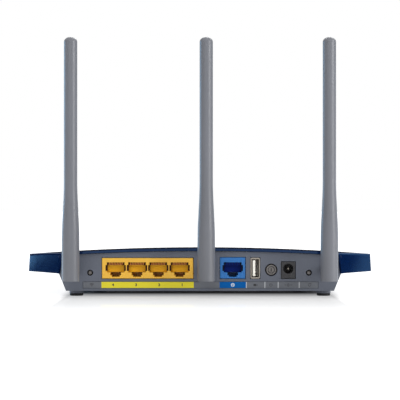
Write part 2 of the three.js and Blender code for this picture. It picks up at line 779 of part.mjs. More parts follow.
function aerialJack(x) {
  const inner = PANEL_T + FIT;
  return turnedY(
    [
      [0, -3.4],
      [0.45, -3.4],
      [0.45, -0.6],
      [1.6, -0.6],
      [1.6, -THREAD_OUT],
      [THREAD_R - 0.35, -THREAD_OUT],
      [THREAD_R, -THREAD_OUT + 0.4],
      [THREAD_R, inner],
      [4.2, inner],
      [4.2, inner + 1.6],
      [1.3, inner + 1.6],
      [1.3, jackTail],
      [0, jackTail],
    ],
    x,
    aerialZ,
    16,
  );
}

const nutFront = -NUT_GAP;

function aerialNut(x) {
  const back = nutSeat - NUT_REAR_WALL;
  const body = turnedY(
    [
      [0, back],
      [NUT_R - NUT_RIM, back],
      [NUT_R, back + NUT_RIM],
      [NUT_R, nutFront - NUT_RIM],
      [NUT_R - NUT_RIM, nutFront],
      [0, nutFront],
    ],
    x,
    aerialZ,
    NUT_GRIPS,
  );
  const bore = turnedY(rod(THREAD_R + FIT, nutSeat, 1), x, aerialZ, 16);
  const neck = turnedY(rod(NECK_R + FIT, back - 1, 0), x, aerialZ, 12);
  return cut(body, bore, neck);
}

const neckEnd = hubBack + NECK_HOLD;

// Sleeve in the middle of the nut that the jack's pin goes into, with a flange the nut pulls on.
function aerialFerrule(x) {
  return turnedY(
    [
      [0, neckEnd],
      [NECK_R, neckEnd],
      [NECK_R, flangeFace - FERRULE_FLANGE_T],
      [THREAD_R - 0.2, flangeFace - FERRULE_FLANGE_T],
      [THREAD_R - 0.2, flangeFace],
      [1.25, flangeFace],
      [1.25, -1.6],
      [0.75, -1.6],
      [0.75, flangeFace],
      [0, flangeFace],
    ],
    x,
    aerialZ,
    12,
  );
}

function aerialKnuckle(x) {
  const hubR = NUT_R - HUB_STEP;
  const hub = turnedY(
    [
      [0, hubBack],
      [hubR - 0.5, hubBack],
      [hubR, hubBack + 0.5],
      [hubR, hubFront],
      [0, hubFront],
    ],
    x,
    aerialZ,
  );
  const side = new THREE.Shape();
  side.moveTo(hubBack + 0.4, aerialZ - TONGUE_R);
  side.lineTo(hubBack + 0.4, aerialZ + TONGUE_R);
  side.lineTo(pivotY, aerialZ + TONGUE_R);
  side.absarc(pivotY, aerialZ, TONGUE_R, Math.PI / 2, (3 * Math.PI) / 2, false);
  const tongue = across(side, x - TONGUE_W / 2, x + TONGUE_W / 2, 6);
  return cut(
    joined(hub, tongue),
    turnedY(rod(NECK_R + FIT, neckEnd - FIT, hubFront + 1), x, aerialZ, 12),
    pivotHole(x, TONGUE_W),
  );
}

const pivotRod = (x, radius, length) =>
  solid(
    new THREE.CylinderGeometry(radius, radius, length, 12)
      .rotateZ(Math.PI / 2)
      .translate(x, pivotY, aerialZ),
  );
const pivotHole = (x, width) => pivotRod(x, PIVOT_R + PIVOT_PLAY, width + 2);

// Outer radius of the whip at a height above the pivot: straight, a soft narrowing, straight.
function whipRadius(height) {
  const t = THREE.MathUtils.smoothstep(height, WHIP_FLARE_Z, WHIP_SLIM_Z);
  return WHIP_LOW_R + (WHIP_TOP_R - WHIP_LOW_R) * t;
}

const whipTop = WHIP_LENGTH - FORK_END_R; // above the pivot
const channelTop = TONGUE_R + 6;

function aerialWhip(x) {
  const tip = WHIP_TIP_H;
  const steps = 4;
  const heights = Array.from(
    { length: steps + 1 },
    (_, i) => WHIP_FLARE_Z + ((WHIP_SLIM_Z - WHIP_FLARE_Z) * i) / steps,
  );
  const rings = 4;
  const dome = Array.from({ length: rings }, (_, i) => {
    const a = ((i + 1) / rings) * (Math.PI / 2);
    const r = i === rings - 1 ? 0 : WHIP_TOP_R * Math.cos(a);
    return [r, whipTop - tip + tip * Math.sin(a)];
  });
  const profile = [
    [0, -FORK_END_R],
    [WHIP_LOW_R, -FORK_END_R],
    ...heights.map((h) => [whipRadius(h), h]),
    [WHIP_TOP_R, whipTop - tip],
    ...dome,
  ].map(([r, h]) => [r, h + aerialZ]);
  const end = new THREE.Shape();
  end.moveTo(pivotY, aerialZ - FORK_END_R);
  end.absarc(pivotY, aerialZ, FORK_END_R, -Math.PI / 2, 0, false);
  end.lineTo(pivotY + 10, aerialZ);
  end.lineTo(pivotY + 10, aerialZ - 10);
  end.lineTo(pivotY, aerialZ - 10);
  const slotBack = pivotY - TONGUE_R - FORK_PLAY;
  const slotTop = aerialZ + TONGUE_R + FORK_PLAY;
  const slot = block(
    x - TONGUE_W / 2 - FIT,
    x + TONGUE_W / 2 + FIT,
    slotBack,
    pivotY + 10,
    aerialZ - 10,
    slotTop,
  );
  const hollowTop = aerialZ + whipTop - 7;
  const hollow = turnedZ(
    [
      [0, slotTop - 1],
      [1.5, slotTop - 1],
      [1.5, aerialZ + channelTop],
      [3, aerialZ + channelTop + 2],
      [3, hollowTop],
      [0, hollowTop],
    ],
    x,
    pivotY,
    10,
  );
  const body = turnedZ(profile, x, pivotY, 16);
  const rounding = across(end, x - 10, x + 10, 8);
  return cut(body, rounding, slot, hollow, pivotHole(x, 2 * WHIP_LOW_R));
}

// Coaxial tail, brass sleeve and upper wire inside the whip.
function aerialElement(x) {
  const h = (v) => aerialZ + v;
  return turnedZ(
    [
      [0, h(TONGUE_R + 1.2)],
      [0.8, h(TONGUE_R + 1.2)],
      [0.8, h(52)],
      [2.2, h(52)],
      [2.2, h(90)],
      [0.5, h(90)],
      [0.5, h(WHIP_LENGTH - 24)],
      [0, h(WHIP_LENGTH - 24)],
    ],
    x,
    pivotY,
    8,
  );
}

// Coaxial lead from a jack's tail to the radio's screening can.
function pigtail(points) {
  const path = new THREE.CatmullRomCurve3(points.map((p) => new THREE.Vector3(...p)));
  const section = polygon(
    Array.from({ length: 6 }, (_, i) => {
      const a = (i / 6) * 2 * Math.PI;
      return [0.75 * Math.cos(a), 0.75 * Math.sin(a)];
    }),
  );
  return solid(new THREE.ExtrudeGeometry(section, { steps: 16, extrudePath: path }));
}

const SHIELD = { x: 38, y: 92, width: 40, length: 26, height: 3 };
const leadStart = jackTail + FIT;
const leadRoutes = {
  left: [
    [at.aerial_left, leadStart, aerialZ],
    [at.aerial_left - 0.6, leadStart + 5, aerialZ],
    [at.aerial_left - 2.4, 24, 15],
    [at.aerial_left + 2, 36, 14.5],
    [-66, 56, 14.5],
    [-30, 90, 14.5],
    [-4, 96, 14],
    [SHIELD.x - SHIELD.width / 2 - 0.8, 94, 13],
  ],
  middle: [
    [at.aerial_middle, leadStart, aerialZ],
    [at.aerial_middle, 16, aerialZ],
    [at.aerial_middle + 6, 30, 15],
    [26, 52, 15],
    [34, 68, 14.5],
    [36, SHIELD.y - SHIELD.length / 2 - 0.8, 13],
  ],
  right: [
    [at.aerial_right, leadStart, aerialZ],
    [at.aerial_right + 0.6, leadStart + 5, aerialZ],
    [at.aerial_right + 2.4, 24, 15],
    [at.aerial_right - 2, 38, 14.5],
    [74, 66, 14.5],
    [66, 86, 14],
    [SHIELD.x + SHIELD.width / 2 + 0.8, 94, 13],
  ],
};

// ---------------------------------------------------------------- assembly
place("top_cover", topCover(), coverBlue);
place("bottom_case", bottomCase(), caseGrey);

for (const [corner, x, y] of feet) {
  const padR = FOOT_R - FOOT_STEP;
  const pad = [
    [0, 0],
    [padR - 0.4, 0],
    [padR, 0.4],
    [padR, FOOT_PAD - FIT],
    [plugR - FIT, FOOT_PAD - FIT],
    [plugR - FIT, FOOT_PAD + 1 - FIT],
    [0, FOOT_PAD + 1 - FIT],
  ];
  place("foot_" + corner, turnedZ(pad, x, y, 16), rubber);
}
for (const [corner, x, y] of screws) {
  const low = underside + SCREW_SINK;
  const screw = [
    [0, low + 0.8],
    [0.9, low + 0.8],
    [0.9, low],
    [SCREW_HEAD_R - 0.5, low],
    [SCREW_HEAD_R, low + 0.6],
    [SCREW_HEAD_R, low + SCREW_HEAD_T],
    [SCREW_R, low + SCREW_HEAD_T],
    [SCREW_R, bossTop + SCREW_BITE - 1],
    [0, bossTop + SCREW_BITE],
  ];
  place("case_screw_" + corner, turnedZ(screw, x, y, 12), steel);
}

place("main_board", mainBoard(), boardGreen);
place("lan_jack_block", modularJack(at.lan, lanW, LAN_H, lanPorts), lanYellow);
place("lan_contacts", contactInsert(at.lan, lanPorts), gold);
place("wan_jack", modularJack(at.wan, WAN_W, JACK_H, [at.wan]), wanBlue);
place("wan_contacts", contactInsert(at.wan, [at.wan]), gold);
place("usb_shell", usbShell(), steel);
place("usb_tongue", usbTongue(), whitePlastic);
place("dc_jack", dcJack(), blackPlastic);
place("dc_jack_pin", dcPin(), steel);

const powerZ = boardTop + POWER_Z;
const smallZ = boardTop + SMALL_Z;
const powerFront = POWER_CAP_BACK + POWER_TRAVEL + 0.8;
const smallFront = SMALL_CAP_BACK + SMALL_TRAVEL + 0.4;
const smallSwitch = (x) => switchBody(x, smallZ, 6.2, 6.8, smallFront, 5, SMALL_STEM_R);
place(
  "power_switch",
  switchBody(at.power, powerZ, 8.4, 9.6, powerFront, 9, POWER_STEM_R),
  blackPlastic,
);
place("power_button", powerButton(), caseGrey);
place("wifi_switch", smallSwitch(at.wifi), blackPlastic);
place("wifi_button", smallButton(at.wifi), caseGrey);
place("reset_switch", smallSwitch(at.reset), blackPlastic);
place("reset_button", smallButton(at.reset), caseGrey);

place("light_guide", lightGuide(), clearPlastic);
place("led_strip", ledStrip(), whitePlastic);
const { x: chipX, y: chipY, size: chipSize, height: chipH } = PROCESSOR;
place("processor", chip(chipX, chipY, chipSize, chipSize, chipH), blackPlastic);
place("heat_sink", heatSink(), aluminium);
place("memory_chip", chip(18, 66, 8, 12, 1.1), blackPlastic);
place("switch_chip", chip(-36, 46, 16, 16, 1.2), blackPlastic);
place("lan_magnetics", chip(-36, 27, 34, 12, 5), blackPlastic);
place("radio_shield", chip(SHIELD.x, SHIELD.y, SHIELD.width, SHIELD.length, SHIELD.height), steel);
const canBase = boardTop + FIT;
place("capacitor", turnedZ(rod(3.2, canBase, canBase + 8), 62, 27, 16), aluminium);

const label = labelSpan();
place(
  "port_label",
  block(label.x0, label.x1, LABEL_SINK, LABEL_SINK + LABEL_T, label.z0, label.z1),
  paper,
);
const labelLow = underside + LABEL_SINK;
const ratingFront = ratingY + RATING_L / 2;
place(
  "rating_label",
  cell(0, RATING_W, ratingFront - RATING_L, ratingFront, labelLow, labelLow + LABEL_T),
  paper,
);

for (const side of aerials) {
  const x = at["aerial_" + side];
  const name = "antenna_" + side + "_";
  place(name + "jack", aerialJack(x), brass);
  place(name + "lead", pigtail(leadRoutes[side]), cableBlack);
  place(name + "ferrule", aerialFerrule(x), brass);
  place(name + "nut", aerialNut(x), aerialGrey);
  place(name + "knuckle", aerialKnuckle(x), aerialGrey);
  place(name + "pin", pivotRod(x, PIVOT_R, 2 * WHIP_LOW_R - 1), steel);
  place(name + "whip", aerialWhip(x), aerialGrey);
  place(name + "element", aerialElement(x), brass);
}

// The origin is the middle of the whole object's footprint, aerials included.
router.position.y = (WHIP_LOW_R - pivotY - frontY) / 2;

export default router;
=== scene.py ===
"""Looks for a desktop wireless router with three aerials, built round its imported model.

The model's frame is in metres: +Z up, -Y the rear with the sockets, X along the sockets.
"""

import json
import logging
import math
from collections.abc import Callable, Iterable, Sequence
from dataclasses import dataclass, field
from enum import Enum
from typing import Any

import bmesh
import bpy
from mathutils import Matrix, Vector

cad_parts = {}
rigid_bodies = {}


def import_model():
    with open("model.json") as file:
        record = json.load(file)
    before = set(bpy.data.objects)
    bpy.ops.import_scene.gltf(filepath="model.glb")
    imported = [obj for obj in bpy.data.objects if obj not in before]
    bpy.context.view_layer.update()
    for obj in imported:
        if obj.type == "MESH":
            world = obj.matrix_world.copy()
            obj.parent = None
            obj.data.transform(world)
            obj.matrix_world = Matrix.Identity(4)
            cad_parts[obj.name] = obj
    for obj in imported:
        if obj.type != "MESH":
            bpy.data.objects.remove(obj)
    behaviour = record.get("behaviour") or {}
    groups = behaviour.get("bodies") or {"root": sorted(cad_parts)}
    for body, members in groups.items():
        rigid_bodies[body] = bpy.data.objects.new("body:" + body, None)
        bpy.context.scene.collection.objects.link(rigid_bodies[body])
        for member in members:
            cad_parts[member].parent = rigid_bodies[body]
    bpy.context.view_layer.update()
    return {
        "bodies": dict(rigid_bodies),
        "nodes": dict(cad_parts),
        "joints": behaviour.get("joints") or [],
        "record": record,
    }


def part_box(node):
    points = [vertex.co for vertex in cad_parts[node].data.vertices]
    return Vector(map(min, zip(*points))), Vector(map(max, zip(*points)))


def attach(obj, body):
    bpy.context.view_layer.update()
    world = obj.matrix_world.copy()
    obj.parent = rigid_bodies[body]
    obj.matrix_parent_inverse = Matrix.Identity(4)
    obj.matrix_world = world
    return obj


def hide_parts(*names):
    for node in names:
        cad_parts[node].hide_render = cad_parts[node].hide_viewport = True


MM = 0.001
LOG = logging.getLogger("router")
HOUSING = "housing"
SIDES = ("left", "middle", "right")
INK_T = 0.03 * MM  # thickness of a printed ink
SAME_POINT = 1e-6  # metres under which two points are one
FRAME: dict[str, Any] = {}


def cad_nodes() -> dict[str, bpy.types.Object]:
    """Gives the CAD nodes by name."""
    return FRAME["nodes"]


# ------------------------------------------------------------------ node trees and finishes


def linear(colour: str) -> tuple[float, float, float, float]:
    """Turns an sRGB hex colour into linear RGBA.

    Args:
        colour: The colour as "#rrggbb".

    Returns:
        Linear red, green and blue, and an alpha of 1.
    """
    channels = [int(colour[i : i + 2], 16) / 255 for i in (1, 3, 5)]
    lit = [c / 12.92 if c <= 0.04045 else ((c + 0.055) / 1.055) ** 2.4 for c in channels]
    return (lit[0], lit[1], lit[2], 1.0)


def add_node(
    tree: bpy.types.NodeTree,
    kind: str,
    settings: dict[str, Any] | None = None,
    inputs: dict[str | int, Any] | None = None,
) -> bpy.types.Node:
    """Adds a node with its settings and links.

    Args:
        tree: The node tree it goes in.
        kind: The node's type name.
        settings: Values for the node's own properties.
        inputs: For each input, a value or the output socket that feeds it.

    Returns:
        The new node.
    """
    made = tree.nodes.new(kind)
    for name, value in (settings or {}).items():
        setattr(made, name, value)
    for name, value in (inputs or {}).items():
        if isinstance(value, bpy.types.NodeSocket):
            tree.links.new(value, made.inputs[name])
        else:
            made.inputs[name].default_value = value
    return made


def new_material(name: str) -> tuple[bpy.types.Material, bpy.types.NodeTree, bpy.types.Node]:
    """Makes an empty material.

    Args:
        name: The material's name.

    Returns:
        The material, its node tree, and its Principled shader.
    """
    material = bpy.data.materials.new(name)
    material.use_nodes = True
    tree = material.node_tree
    tree.nodes.clear()
    shader = add_node(tree, "ShaderNodeBsdfPrincipled")
    add_node(tree, "ShaderNodeOutputMaterial", inputs={"Surface": shader.outputs["BSDF"]})
    return material, tree, shader


def math_value(
    tree: bpy.types.NodeTree, operation: str, first: Any, second: Any = 0.0
) -> bpy.types.NodeSocket:
    """Works out a value from one or two others.

    Args:
        tree: The node tree it goes in.
        operation: The math node's operation.
        first: A value, or the output socket that gives it.
        second: The same, for what takes two.

    Returns:
        The result's socket.
    """
    made = add_node(tree, "ShaderNodeMath", {"operation": operation}, {0: first, 1: second})
    return made.outputs["Value"]


def smooth_rise(
    tree: bpy.types.NodeTree,
    place: bpy.types.NodeSocket,
    reach: tuple[float, float],
    level: float,
    start: float = 0.0,
) -> bpy.types.NodeSocket:
    """Raises a level softly between two places.

    Args:
        tree: The node tree it goes in.
        place: The place.
        reach: Where it starts and where it is full.
        level: The full level.
        start: The level before it rises.

    Returns:
        The level's socket.
    """
    low, high = reach
    inputs = {"Value": place, "From Min": low, "From Max": high, "To Min": start, "To Max": level}
    settings = {"interpolation_type": "SMOOTHSTEP"}
    return add_node(tree, "ShaderNodeMapRange", settings, inputs).outputs["Result"]


def coordinates(tree: bpy.types.NodeTree, kind: str = "Object") -> bpy.types.NodeSocket:
    """Gives one kind of texture coordinates."""
    return add_node(tree, "ShaderNodeTexCoord").outputs[kind]


def relief(
    tree: bpy.types.NodeTree,
    shader: bpy.types.Node,
    height: bpy.types.NodeSocket,
    depth_mm: float,
    strength: float = 1.0,
) -> None:
    """Raises a shader's surface by a height, up to a depth in millimetres."""
    inputs = {"Height": height, "Distance": depth_mm * MM, "Strength": strength}
    bump = add_node(tree, "ShaderNodeBump", inputs=inputs)
    tree.links.new(bump.outputs["Normal"], shader.inputs["Normal"])


def object_noise(
    tree: bpy.types.NodeTree,
    feature_mm: float,
    detail: float = 2.0,
    stretch: tuple[float, float, float] = (1, 1, 1),
) -> bpy.types.NodeSocket:
    """Makes noise on Object coordinates.

    Args:
        tree: The node tree it goes in.
        feature_mm: Size of one blotch or grain in millimetres.
        detail: Octaves of finer noise on top.
        stretch: Scale along each axis, over 1 for finer.

    Returns:
        The noise's factor socket.
    """
    scale = Vector(stretch) / (feature_mm * MM)
    inputs = {"Vector": coordinates(tree), "Scale": scale}
    mapped = add_node(tree, "ShaderNodeMapping", inputs=inputs).outputs["Vector"]
    inputs = {"Vector": mapped, "Scale": 1.0, "Detail": detail}
    return add_node(tree, "ShaderNodeTexNoise", inputs=inputs).outputs["Fac"]


def spread(
    tree: bpy.types.NodeTree, source: bpy.types.NodeSocket, low: float, high: float
) -> bpy.types.NodeSocket:
    """Maps noise, which keeps mostly between 0.3 and 0.7, onto a range.

    Args:
        tree: The node tree it goes in.
        source: The noise's factor.
        low: Value where the noise is low.
        high: Value where it is high.

    Returns:
        The mapped value's socket.
    """
    mapped = add_node(
        tree,
        "ShaderNodeMapRange",
        inputs={"Value": source, "From Min": 0.3, "From Max": 0.7, "To Min": low, "To Max": high},
    )
    return mapped.outputs["Result"]


def tinted(
    tree: bpy.types.NodeTree, factor: bpy.types.NodeSocket, first: str, second: str
) -> bpy.types.NodeSocket:
    """Blends two hex colours by a factor.

    Args:
        tree: The node tree it goes in.
        factor: 0 gives the first colour and 1 the second.
        first: The first colour, sRGB hex.
        second: The second colour, sRGB hex.

    Returns:
        The blended colour's socket.
    """
    ramp = add_node(tree, "ShaderNodeValToRGB", inputs={"Fac": factor})
    ramp.color_ramp.elements[0].color = linear(first)
    ramp.color_ramp.elements[1].color = linear(second)
    return ramp.outputs["Color"]


@dataclass(frozen=True)
class MouldedPlastic:
    """Injection-moulded ABS, with the tool's spark-eroded or polished skin.

    A spark-eroded skin scatters light in grains of a few tenths of a millimetre. A polished skin
    is mirror-like, with the slow waviness that gloss mouldings have.
    """

    name: str
    colour: str
    shade: str  # the slightly different tone that it drifts to
    roughness: tuple[float, float]
    grain_mm: float
    grain_depth_mm: float
    drift_mm: float = 25.0
    glint: str = "#ffffff"  # tint of its reflections
    ior: float = 1.53

    def material(self) -> bpy.types.Material:
        """Builds the material."""
        made, tree, shader = new_material(self.name)
        drift = spread(tree, object_noise(tree, self.drift_mm, 3.0), 0.0, 1.0)
        grain = object_noise(tree, self.grain_mm)
        colour = tinted(tree, drift, self.colour, self.shade)
        tree.links.new(colour, shader.inputs["Base Color"])
        tree.links.new(spread(tree, grain, *self.roughness), shader.inputs["Roughness"])
        relief(tree, shader, grain, self.grain_depth_mm)
        shader.inputs["IOR"].default_value = self.ior
        shader.inputs["Specular Tint"].default_value = linear(self.glint)
        return made


@dataclass(frozen=True)
class PlatedMetal:
    """Stamped or turned metal under nickel, zinc or gold plating, with fine drawing lines."""

    name: str
    colour: str
    shade: str
    roughness: tuple[float, float]
    line_mm: float = 0.12
    stretch: tuple[float, float, float] = (1, 0.05, 1)
    cloud_mm: float = 4.0
    line_depth_mm: float = 0.004

    def material(self) -> bpy.types.Material:
        """Builds the material."""
        made, tree, shader = new_material(self.name)
        lines = object_noise(tree, self.line_mm, stretch=self.stretch)
        cloud = spread(tree, object_noise(tree, self.cloud_mm, 3.0), 0.0, 1.0)
        colour = tinted(tree, cloud, self.colour, self.shade)
        tree.links.new(colour, shader.inputs["Base Color"])
        tree.links.new(spread(tree, lines, *self.roughness), shader.inputs["Roughness"])
        relief(tree, shader, lines, self.line_depth_mm, 0.6)
        shader.inputs["Metallic"].default_value = 1.0
        return made


@dataclass(frozen=True)
class CircuitBoard:
    """Glass-fibre board under green solder mask, with the relief of the copper beneath."""

    name: str = "Solder-masked glass-fibre board"
    mask: str = "#174a2b"
    over_copper: str = "#2c6a3d"
    track_mm: float = 2.4
    gap_share: float = 0.12  # how much of each cell's edge counts as copper
    copper_mm: float = 0.03
    roughness: float = 0.38

    def material(self) -> bpy.types.Material:
        """Builds the material."""
        made, tree, shader = new_material(self.name)
        cells = add_node(
            tree,
            "ShaderNodeTexVoronoi",
            {"distance": "MANHATTAN", "feature": "DISTANCE_TO_EDGE"},
            {"Vector": coordinates(tree), "Scale": 1 / (self.track_mm * MM)},
        )
        copper = math_value(tree, "LESS_THAN", cells.outputs["Distance"], self.gap_share)
        colour = tinted(tree, copper, self.mask, self.over_copper)
        tree.links.new(colour, shader.inputs["Base Color"])
        relief(tree, shader, copper, self.copper_mm, 0.7)
        shader.inputs["Roughness"].default_value = self.roughness
        return made


class Finish(Enum):
    """The finishes on this router, one for each real material."""

    # Gloss ABS from a polished tool: a deep, wet navy with sharp reflections.
    COVER = MouldedPlastic(
        "Gloss navy ABS, polished moulding",
        "#021538",
        "#03183e",
        (0.05, 0.08),
        14.0,
        0.004,
        60,
        "#9fc8ff",
    )
    # Spark-eroded ABS: an even blue-grey with a fine sparkle and a soft sheen.
    CASE = MouldedPlastic(
        "Blue-grey ABS, spark-eroded moulding", "#5a5f6b", "#565b67", (0.44, 0.56), 0.45, 0.02
    )
    # The same skin in a warmer grey, slightly smoother.
    AERIAL = MouldedPlastic(
        "Grey ABS, satin moulding", "#6a6c73", "#67696f", (0.33, 0.43), 0.4, 0.012
    )
    # Polyester film and the inks printed on it, all satin.
    FILM = MouldedPlastic(
        "Grey polyester film", "#6a6d73", "#686b71", (0.42, 0.5), 0.5, 0.004, 20.0, ior=1.2
    )
    YELLOW_INK = MouldedPlastic(
        "Yellow screen ink", "#ddd03a", "#dacd36", (0.42, 0.5), 0.5, 0.004, 20.0, ior=1.2
    )
    BLUE_INK = MouldedPlastic(
        "Blue screen ink", "#0058a0", "#00559b", (0.42, 0.5), 0.5, 0.004, 20.0, ior=1.2
    )
    PALE_INK = MouldedPlastic(
        "Pale grey screen ink", "#b9bcc0", "#b5b8bc", (0.42, 0.5), 0.5, 0.004, 20.0, ior=1.2
    )
    BUTTON = MouldedPlastic(
        "Warm grey ABS, satin moulding", "#6c6866", "#676361", (0.38, 0.5), 0.35, 0.01
    )
    YELLOW = MouldedPlastic(
        "Yellow PBT, socket moulding", "#ecb83a", "#e8b032", (0.34, 0.46), 0.5, 0.01, 9.0
    )
    BLUE = MouldedPlastic(
        "Blue PBT, socket moulding", "#1b6cb4", "#1766ac", (0.34, 0.46), 0.5, 0.01, 9.0
    )
    # The blue socket's carrier and comb: its blue painted dark navy, as painted shade inside the
    # opening.
    PAINTED_SHADE_NAVY = MouldedPlastic(
        "Socket blue darkened as painted shade, carrier and comb", "#02237a", "#021e6a", (0.5, 0.6), 0.5, 0.01, 9.0, ior=1.2
    )
    # The carrier behind the yellow sockets: brighter and more saturated than their yellow, painted
    # light against the socket's shade.
    PAINTED_LIGHT_ORANGE = MouldedPlastic(
        "Socket yellow brightened as painted light, contact carrier", "#ffc01a", "#ffb814", (0.4, 0.5), 0.5, 0.01, 9.0, ior=1.3
    )
    # The comb's teeth: the socket's yellow painted darker, as painted shade under the opening's
    # roof.
    PAINTED_SHADE_TAN = MouldedPlastic(
        "Socket yellow darkened as painted shade, contact comb", "#c87c2a", "#c07626", (0.4, 0.5), 0.5, 0.01, 9.0
    )
    # Dark blocks standing in for shade: painted shade behind the sockets' combs and in their side
    # windows.
    PAINTED_SHADE_BROWN = MouldedPlastic(
        "Dark brown painted shade, block behind comb and in windows", "#3a1603", "#331303", (0.7, 0.8), 0.5, 0.01, 9.0, ior=1.3
    )
    PAINTED_SHADE_BLUE_BLACK = MouldedPlastic(
        "Blue-black painted shade, block behind comb and in windows", "#02081e", "#02071a", (0.7, 0.8), 0.5, 0.01, 9.0, ior=1.3
    )
    BLACK = MouldedPlastic(
        "Black PBT, socket moulding", "#323235", "#2f2f32", (0.4, 0.52), 0.4, 0.012, 9.0
    )
    CREAM = MouldedPlastic(
        "Cream PBT, contact carrier", "#fffcf3", "#faf6ec", (0.4, 0.5), 0.4, 0.01, 9.0
    )
    # Moulded silicone rubber: almost black, dull, a little dusty.
    RUBBER = MouldedPlastic(
        "Black rubber, moulded foot", "#121214", "#1b1b1d", (0.7, 0.85), 0.6, 0.03, 6.0
    )
    CABLE = MouldedPlastic(
        "Black FEP jacket, extruded", "#17171a", "#1c1c20", (0.35, 0.45), 0.8, 0.01, 9.0
    )
    CHIP = MouldedPlastic(
        "Black epoxy, moulded chip body", "#1c1c1e", "#222224", (0.5, 0.65), 0.3, 0.012, 8.0
    )
    INK = MouldedPlastic(
        "Dark screen ink", "#1e1f22", "#222327", (0.5, 0.6), 0.3, 0.002, 6.0
    )
    WHITE_INK = MouldedPlastic(
        "White screen ink", "#e6ebee", "#dfe5e9", (0.5, 0.6), 0.3, 0.002, 6.0
    )
    # Cast acrylic light guide: milky clear, bright at its polished ends.
    GUIDE = MouldedPlastic(
        "Clear acrylic, moulded light guide", "#dfe6ea", "#e6ecef", (0.12, 0.18), 3.0, 0.002, 9.0
    )
    NICKEL = PlatedMetal("Nickel-plated steel, stamped", "#c0b8ae", "#b0a89c", (0.3, 0.42))
    ZINC = PlatedMetal("Zinc-plated steel", "#b9bcc0", "#a9adb2", (0.28, 0.42))
    GOLD = PlatedMetal("Gold-plated bronze, spring contacts", "#d9a441", "#c78f33", (0.2, 0.32))
    # The USB contacts: gold springs painted dark brown, as painted shade of the deep socket.
    PAINTED_SHADE_CONTACT_METAL = PlatedMetal("Dark contact metal as painted shade, USB contacts", "#4a3526", "#3f2c1f", (0.4, 0.55))
    BRASS = PlatedMetal(
        "Gold-plated brass, turned connector", "#d2ab5c", "#c49c4e", (0.16, 0.28), 0.1, (1, 0.2, 1)
    )
    ALUMINIUM = PlatedMetal(
        "Extruded aluminium", "#b9bcbf", "#aeb2b5", (0.3, 0.42), 0.15, (1, 0.05, 1)
    )
    BOARD = CircuitBoard()
    LABEL = MouldedPlastic(
        "Silver polyester label", "#a9adb2", "#a2a6ab", (0.32, 0.4), 0.5, 0.003, 12.0
    )


class Paintbox:
    """Makes each finish's material once and hands it out."""

    def __init__(self) -> None:
        """Starts with no material made."""
        self._made: dict[Finish, bpy.types.Material] = {}

    def __getitem__(self, finish: Finish) -> bpy.types.Material:
        """Gives a finish's material."""
        if finish not in self._made:
            self._made[finish] = finish.value.material()
        return self._made[finish]


PAINT = Paintbox()


# ------------------------------------------------------------------ shaping


class Along(Enum):
    """The axis that a round or extruded piece runs along."""

    X = Vector((1, 0, 0))
    Y = Vector((0, 1, 0))
    Z = Vector((0, 0, 1))

    def across(self) -> Vector:
        """Gives the direction in which a turned profile's radius is measured."""
        return Vector((1, 0, 0)) if self is not Along.X else Vector((0, 0, 1))


def placed(name: str, data: bpy.types.ID) -> bpy.types.Object:
    """Makes an object of a mesh, curve, camera or light, and links it to the scene."""
    made = bpy.data.objects.new(name, data)
    bpy.context.scene.collection.objects.link(made)
    return made


def mesh_of(bm: bmesh.types.BMesh, name: str = "spare") -> bpy.types.Mesh:
    """Turns a bmesh into a mesh and frees it."""
    mesh = bpy.data.meshes.new(name)
    bm.to_mesh(mesh)
    bm.free()
    return mesh


def grown(bm: bmesh.types.BMesh, travel: Vector) -> bmesh.types.BMesh:
    """Extrudes all of a flat mesh's faces and turns them outwards.

    Args:
        bm: The flat mesh.
        travel: How far and which way it is extruded.

    Returns:
        The same mesh, closed.
    """
    made = bmesh.ops.extrude_face_region(bm, geom=bm.faces[:], use_keep_orig=True)["geom"]
    raised = [g for g in made if isinstance(g, bmesh.types.BMVert)]
    bmesh.ops.translate(bm, verts=raised, vec=travel)
    return bm


def round_points(
    across: float, along: float, degrees: Iterable[float]
) -> list[tuple[float, float]]:
    """Gives the profile of a round end, from its tip on the axis outwards.

    Args:
        across: Its radius.
        along: How far its tip stands out for a full quarter turn.
        degrees: The angle of each point from the tip.

    Returns:
        Points of (radius, distance along the axis).
    """
    turns = [math.radians(d) for d in degrees]
    return [(across * math.sin(a), along * (1 - math.cos(a))) for a in turns]


def centre_of(node: str) -> Vector:
    """Gives the middle of a CAD node's box."""
    low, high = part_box(node)
    return (low + high) / 2


def clean(bm: bmesh.types.BMesh) -> bmesh.types.BMesh:
    """Merges doubles, turns all faces outwards, and gives the same mesh back."""
    bmesh.ops.remove_doubles(bm, verts=bm.verts, dist=SAME_POINT)
    bmesh.ops.recalc_face_normals(bm, faces=bm.faces)
    return bm


def turned(
    profile: Sequence[tuple[float, float]],
    axis: Along,
    centre: Vector,
    steps: int = 48,
) -> bmesh.types.BMesh:
    """Spins a profile all the way round an axis.

    Args:
        profile: Points of (radius, distance along the axis), in metres, from one end to the other.
        axis: The axis it turns about.
        centre: A point on the axis, from which the distances count.
        steps: Sides of the finished piece.

    Returns:
        The closed round mesh.
    """
    bm = bmesh.new()
    points = [bm.verts.new(centre + axis.across() * r + axis.value * t) for r, t in profile]
    edges = [bm.edges.new(pair) for pair in zip(points, points[1:])]
    bmesh.ops.spin(
        bm,
        geom=[*points, *edges],
        cent=centre,
        axis=axis.value,
        angle=math.tau,
        steps=steps,
        use_merge=True,
    )
    return clean(bm)


def brick(low: Vector, high: Vector) -> bmesh.types.BMesh:
    """Makes a box.

    Args:
        low: Its lowest corner.
        high: Its highest corner.

    Returns:
        The box's mesh.
    """
    bm = bmesh.new()
    size = Matrix.Diagonal((*(high - low), 1))
    bmesh.ops.create_cube(bm, size=1, matrix=Matrix.Translation((low + high) / 2) @ size)
    return bm


